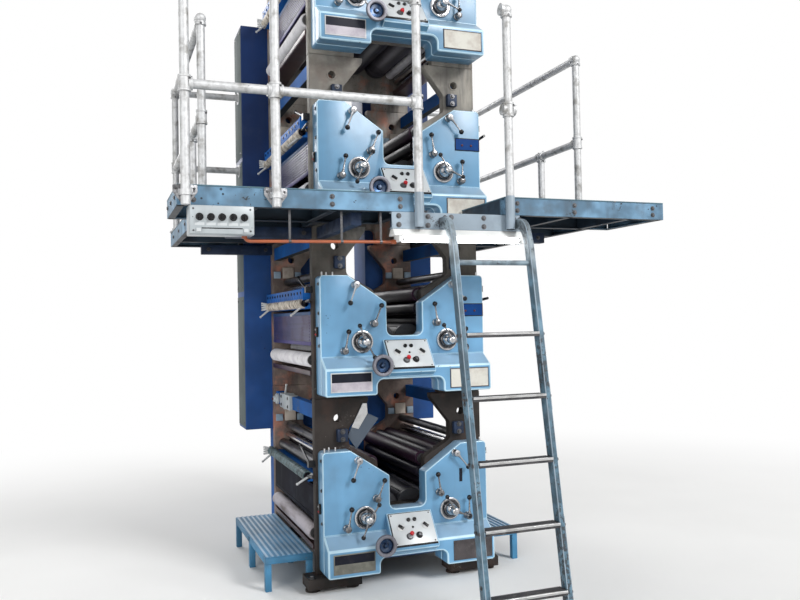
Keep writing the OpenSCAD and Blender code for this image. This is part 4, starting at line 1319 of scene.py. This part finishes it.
def makeLadder(s):
    stiles, shoes, treads, nosings = newMeshes(4)
    d, edge, hook = s.stileD / 2, deck["front"] - .0005, deckLow - beam["high"] + s.stileD + .006
    low, bendY, spots = hook - s.stileD, ladderY(s.bend), []
    path = roundOutline([
        (ladderY(0) - d, 0), (ladderY(0) + d, 0), (bendY + d, s.bend, .2), (bendY + .07, low, .06), (edge, low),
        (edge, hook), (bendY + .025, hook, .11), (bendY - d, s.bend, .2)], 7)
    steps = [s.first + i * s.pitch for i in range(s.treads)]
    for side in sides:
        x = s.x + side * (s.wide + s.stileW) / 2
        outer, way = x + side * s.stileW / 2, (side, 0, 0)
        slab(stiles, path, x - s.stileW / 2, x + s.stileW / 2, "x")
        for z0, z1 in s.splices:  # plates on the outside
            outline = [(ladderY(z) + across * d * .8, z) for z, across in ((z0, -1), (z0, 1), (z1, 1), (z1, -1))]
            slab(shoes, outline, *sorted((outer - side * .001, outer + side * .004)), "x")
            spots += [((outer + side * .004, ladderY(z), z), way) for z in (z0 + .05, (z0 + z1) / 2, z1 - .04)]
        spots += [((outer, ladderY(z - .012) + dy, z - .012), way) for z in steps for dy in (-.02, .02)]
        spots.append(((x, edge - .0495, hook + .001), up))
    x0, x1 = s.x - s.wide / 2, s.x + s.wide / 2
    for z in steps:
        y0, y1, low = ladderY(z) - s.deep / 2, ladderY(z) + s.deep / 2, z - s.thick
        slab(treads, [(y0 + .003, low), (y0 + .007, low), (y0 + .010, z - .006), (y1 - .010, z - .006),
                      (y1 - .007, low), (y1, low), (y1, z), (y0 + .003, z)], x0, x1, "x")
        slab(nosings, [(y0 + a, z + b) for a, b in s.nosing], x0 + .002, x1 - .002, "x", 1)
    tube(treads, (x0, ladderY(s.rung), s.rung), (x1, ladderY(s.rung), s.rung), s.rungRadius, steps=24, slot=2)
    makePiece("ladderStiles", [soften(stiles, .004, 2, 1), soften(shoes, .001, 1)], ["stileBlue", "beamGrey"],
              ["ladder_stiles"])
    makePiece("ladderTreads", [soften(treads, .001, 1), nosings], ["treadDark", "nosing", "stileBlue"],
              ["ladder_treads"])
    makeBars("treadGrip", [(s.x, ladderY(z) - .02, z + .0004) for z in steps], (0, .009, 0), 6,
             (s.wide - .02, .003, .002), "treadDark")
    makeFasteners("ladderBolts", spots, .008, .007, "darkSteel", .012)


# Lamp, switch box and footboards

lamp = dict(
    left=-.325, right=.495, tubeY=.022, tubeZ=.054, tube=.013,
    section=[(-.02, -.0005), (.02, -.0005), (.045, -.032), (.045, -.038), (-.045, -.038), (-.045, -.032)])


def makeLamp(s):
    body, tubes, ends = newMeshes(3)
    top, y = deckLow - beam["high"], deck["front"] + deck["channel"] / 2
    slab(body, [(y + a, top + b) for a, b in s.section], s.left, s.right, "x")
    z = top - s.tubeZ
    for tubeY in (y - s.tubeY, y + s.tubeY):
        tube(tubes, (s.left + .05, tubeY, z), (s.right - .05, tubeY, z), s.tube, steps=24, slot=1)
        for x, far in ((s.left + .046, s.left + .064), (s.right - .046, s.right - .064)):
            tube(ends, (x, tubeY, z), (far, tubeY, z), s.tube + .0008, steps=24, slot=2)
    for x in (s.left + .028, s.right - .048):
        block(ends, (x, x + .020), (y - .040, y + .040), (top - .070, top - .037))
    makePiece("deckLamp", [soften(body, .002), tubes, soften(ends, .0015, 1)], ["lampWhite", "tubeGlow", "nosing"],
              ["lamp"])


conduit = dict(
    start=(-1.115, -.66, 2.092), low=2.066, end=(-.296, -.66, 2.075), radius=.0085, turn=.030,
    straps=[(-.88, 2.0685), (-.60, 2.0715), (-.38, 2.074)])


def makeConduit(s):  # from the switch box to the lamp, on straps under the platform
    pipe, joints = newMeshes(2)
    (x, y, high), (endX, endY, endZ), r = s.start, s.end, s.turn
    angles = [math.pi / 2 * i / 6 for i in range(7)]
    points = [s.start] + [(x + r * (1 - math.cos(a)), y, s.low + r * (1 - math.sin(a))) for a in angles] + [s.end]
    for start, end in zip(points, points[1:]):
        tube(pipe, start, end, s.radius, steps=16)
        ball(pipe, end, s.radius * .999, up, 16)
    tube(joints, s.start, (x, y, high - .012), .014)
    tube(joints, (endX - .022, endY, endZ), s.end, .0125)
    for x, z in s.straps:
        block(joints, (x - .006, x + .006), (y - .001, y + .001), (z, deckLow - .0004), 1)
        tube(joints, (x - .007, y, z), (x + .007, y, z), .0102, slot=1)
    makePiece("lampConduit", [pipe, joints], ["conduit", "darkSteel"])


switchBox = dict(
    left=-1.395, right=-1.075, front=-.73, back=-.61, low=2.09, high=2.2345, knobZ=2.176,
    knobs=[-1.345, -1.29, -1.235, -1.18, -1.125], tabs=(-1.350, -1.118),
    knob=[(.019, 0), (.019, .003), (.0155, .005), (.0145, .016), (.012, .0185), (0, .019)])


def makeSwitchBox(s):
    cases, plates, knobs = newMeshes(3)
    f, low, high = s.front, s.low, s.high
    block(cases, (s.left, s.right), (f + .006, s.back), (low, high))
    block(plates, (s.left + .004, s.right - .004), (f, f + .007), (low + .004, high - .004))
    for x in s.knobs:
        lathe(knobs, s.knob, (x, f, s.knobZ), front, 28, 1)
        pointer = bmesh.new()
        block(pointer, (x - .0035, x + .0035), (f - .028, f - .016), (s.knobZ - .015, s.knobZ + .015), 1)
        addMesh(knobs, soften(pointer, .0015, 1))
        block(knobs, (x - .023, x + .023), (f - .0009, f + .0005), (low + .044, low + .058), 2)
    for x in (s.left + .02, s.right - .02):
        for z in (low + .018, high - .018):
            lathe(knobs, flatScrew, (x, f, z), front, 12, 3)
    block(knobs, (-1.335, -1.135), (f - .001, f + .0005), (low + .028, low + .033), 1)
    for x in s.tabs:
        block(knobs, (x - .011, x + .011), (f - .008, f + .001), (low + .012, low + .030), 2)
    makePiece("switchBox", [soften(cases, .004), soften(plates, .002), knobs],
              ["boxGrey", "blackPlastic", "panelWhite", "darkSteel"], ["switch_box"])


boards = dict(inner=.57, wide=.3, high=.212, rail=.046, bar=.04, ribs=9)


def makeFootboards(s):
    rails, plates = newMeshes(2)
    y0, y1, outer, low, half = frameBack + .01, driveFront - .01, s.inner + s.wide, s.high - s.rail, .0005
    stops = (y0, (y0 + y1) / 2 - .02, y1 - s.bar)
    block(plates, (s.inner, outer), (y0, y1), (s.high - .006, s.high - .002))
    for x in (s.inner, outer - s.bar):
        block(rails, (x, x + s.bar), (y0 + .0405, y1 - .0405), (low, s.high - .0065))
        for y in stops:
            block(rails, (x + half, x + s.bar - half), (y + half, y + s.bar - half), (0, low - half))
    for y in stops:
        block(rails, (s.inner, outer), (y, y + s.bar), (low, s.high - .0065))
    makePiece("footboards", [soften(rails, .003), soften(plates, .001, 1)], ["footBlue"],
              ["footboards"], bothSides)
    ribs = [(x, (y0 + y1) / 2, s.high - .001) for x in evenly(s.inner + .015, outer - .015, s.ribs)]
    makeBars("footboardRibs", ribs, (0, 0, .001), 1, (.014, y1 - y0 - .004, .006), "coverBlue",
             moves=bothSides)


# Stage, lights and camera

studio = dict(
    half=40, colour=(.86, .86, .85, 1), fade=(2.4, 7.5), worldLight=.34, target=(0, 0, 2.1),
    # place, size, power
    lights=[("keyLight", (8.0, -14.0, 11.5), 5.0, 2750), ("fillLight", (-9.0, -8.5, 4.5), 6.0, 560),
            ("rearLight", (-3.0, 10.0, 7.5), 6.0, 620)])


def addToScene(name, data):
    thing = bpy.data.objects.new(name, data)
    bpy.context.scene.collection.objects.link(thing)
    return thing


def makeStage(s):
    mesh, half = bpy.data.meshes.new("studioFloor"), s.half
    mesh.from_pydata([(-half, -half, 0), (half, -half, 0), (half, half, 0), (-half, half, 0)], [], [(0, 1, 2, 3)])
    tree, shader = startMaterial("studioFloor")
    soft = useEffect(tree, "patch", Scale=.8, From=.3, To=.7, Detail=2)
    feed(shader, "Base Color", mixColours(tree, soft, shade(s.colour, .97), s.colour))
    feed(shader, "Roughness", .8)
    place = put(tree, "ShaderNodeTexCoord").outputs["Object"]
    far = put(tree, "ShaderNodeVectorMath", {0: place}, operation="LENGTH").outputs["Value"]
    fading = between(tree, far, *s.fade, interpolation_type="SMOOTHSTEP")
    rays = put(tree, "ShaderNodeLightPath").outputs
    seen = maths(tree, "MAXIMUM", rays["Is Camera Ray"], rays["Is Glossy Ray"])
    glow = put(tree, "ShaderNodeEmission", {"Color": (1, 1, 1, 1), "Strength": 1})
    blend = put(tree, "ShaderNodeMixShader", {0: scaled(tree, fading, seen), 1: shader, 2: glow})
    feed(tree.nodes["Material Output"], 0, blend)
    mesh.materials.append(finish["studioFloor"])
    addToScene("studioFloor", mesh)
    for name, place, size, power in s.lights:
        data = bpy.data.lights.new(name, "AREA")
        data.shape, data.size, data.energy = "SQUARE", size, power
        light = addToScene(name, data)
        light.location = place
        light.rotation_euler = (Vector(s.target) - Vector(place)).to_track_quat("-Z", "Y").to_euler()
    world = bpy.context.scene.world = bpy.data.worlds.new("studioWorld")
    world.use_nodes = True
    tree = world.node_tree
    tree.nodes.clear()
    rays = put(tree, "ShaderNodeLightPath").outputs
    seen = maths(tree, "MAXIMUM", rays["Is Camera Ray"], rays["Is Glossy Ray"])
    seen = maths(tree, "MAXIMUM", seen, rays["Is Transmission Ray"])
    strength = mixValues(tree, seen, s.worldLight, 1)
    put(tree, "ShaderNodeOutputWorld", {0: put(tree, "ShaderNodeBackground", {
        "Color": (1, 1, 1, 1), "Strength": strength})})


photoCamera = dict(
    at=(-1.823, -5.011, 1.650), right=(.93625, -.35084, -.01878), up=(.00890, -.02976, .99952),
    ahead=(.35123, .93596, .02474), lens=36.44)


def makeCamera(s):
    data = bpy.data.cameras.new("photoCamera")
    data.lens, data.sensor_width, data.clip_end = s.lens, 36, 200
    axes = Matrix((s.right, s.up, [-part for part in s.ahead])).transposed().to_4x4()
    axes.translation = s.at
    camera = bpy.context.scene.camera = addToScene("photoCamera", data)
    camera.matrix_world = axes


for make, settings in (
        (makeCamera, photoCamera), (makeStage, studio), (makeCastings, casting), (makeFeet, feet),
        (makeCovers, cover), (makeLatches, latch), (makeConsoles, console), (makePlates, signs), (makeDials, dial),
        (makeLevers, lever), (makeCranks, crank), (makeWheels, wheel), (makeRollers, rollers),
        (makeCylinders, rollers), (makeFountains, fountain), (makeTieClamp, tieClamp), (makePans, pan),
        (makeGuards, guard), (makeHousing, housing), (makeDecks, deck), (makeBeam, beam), (makeRails, rail),
        (makeLadder, ladder), (makeLamp, lamp), (makeConduit, conduit), (makeSwitchBox, switchBox),
        (makeFootboards, boards)):
    make(SimpleNamespace(**settings))
    print("made", make.__name__[4:])

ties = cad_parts["tie_bars"].data.materials  # the one CAD node that stays as it is
ties.clear()
ties.append(finish["tieBlue"])

bpy.context.scene.view_settings.view_transform = "Standard"
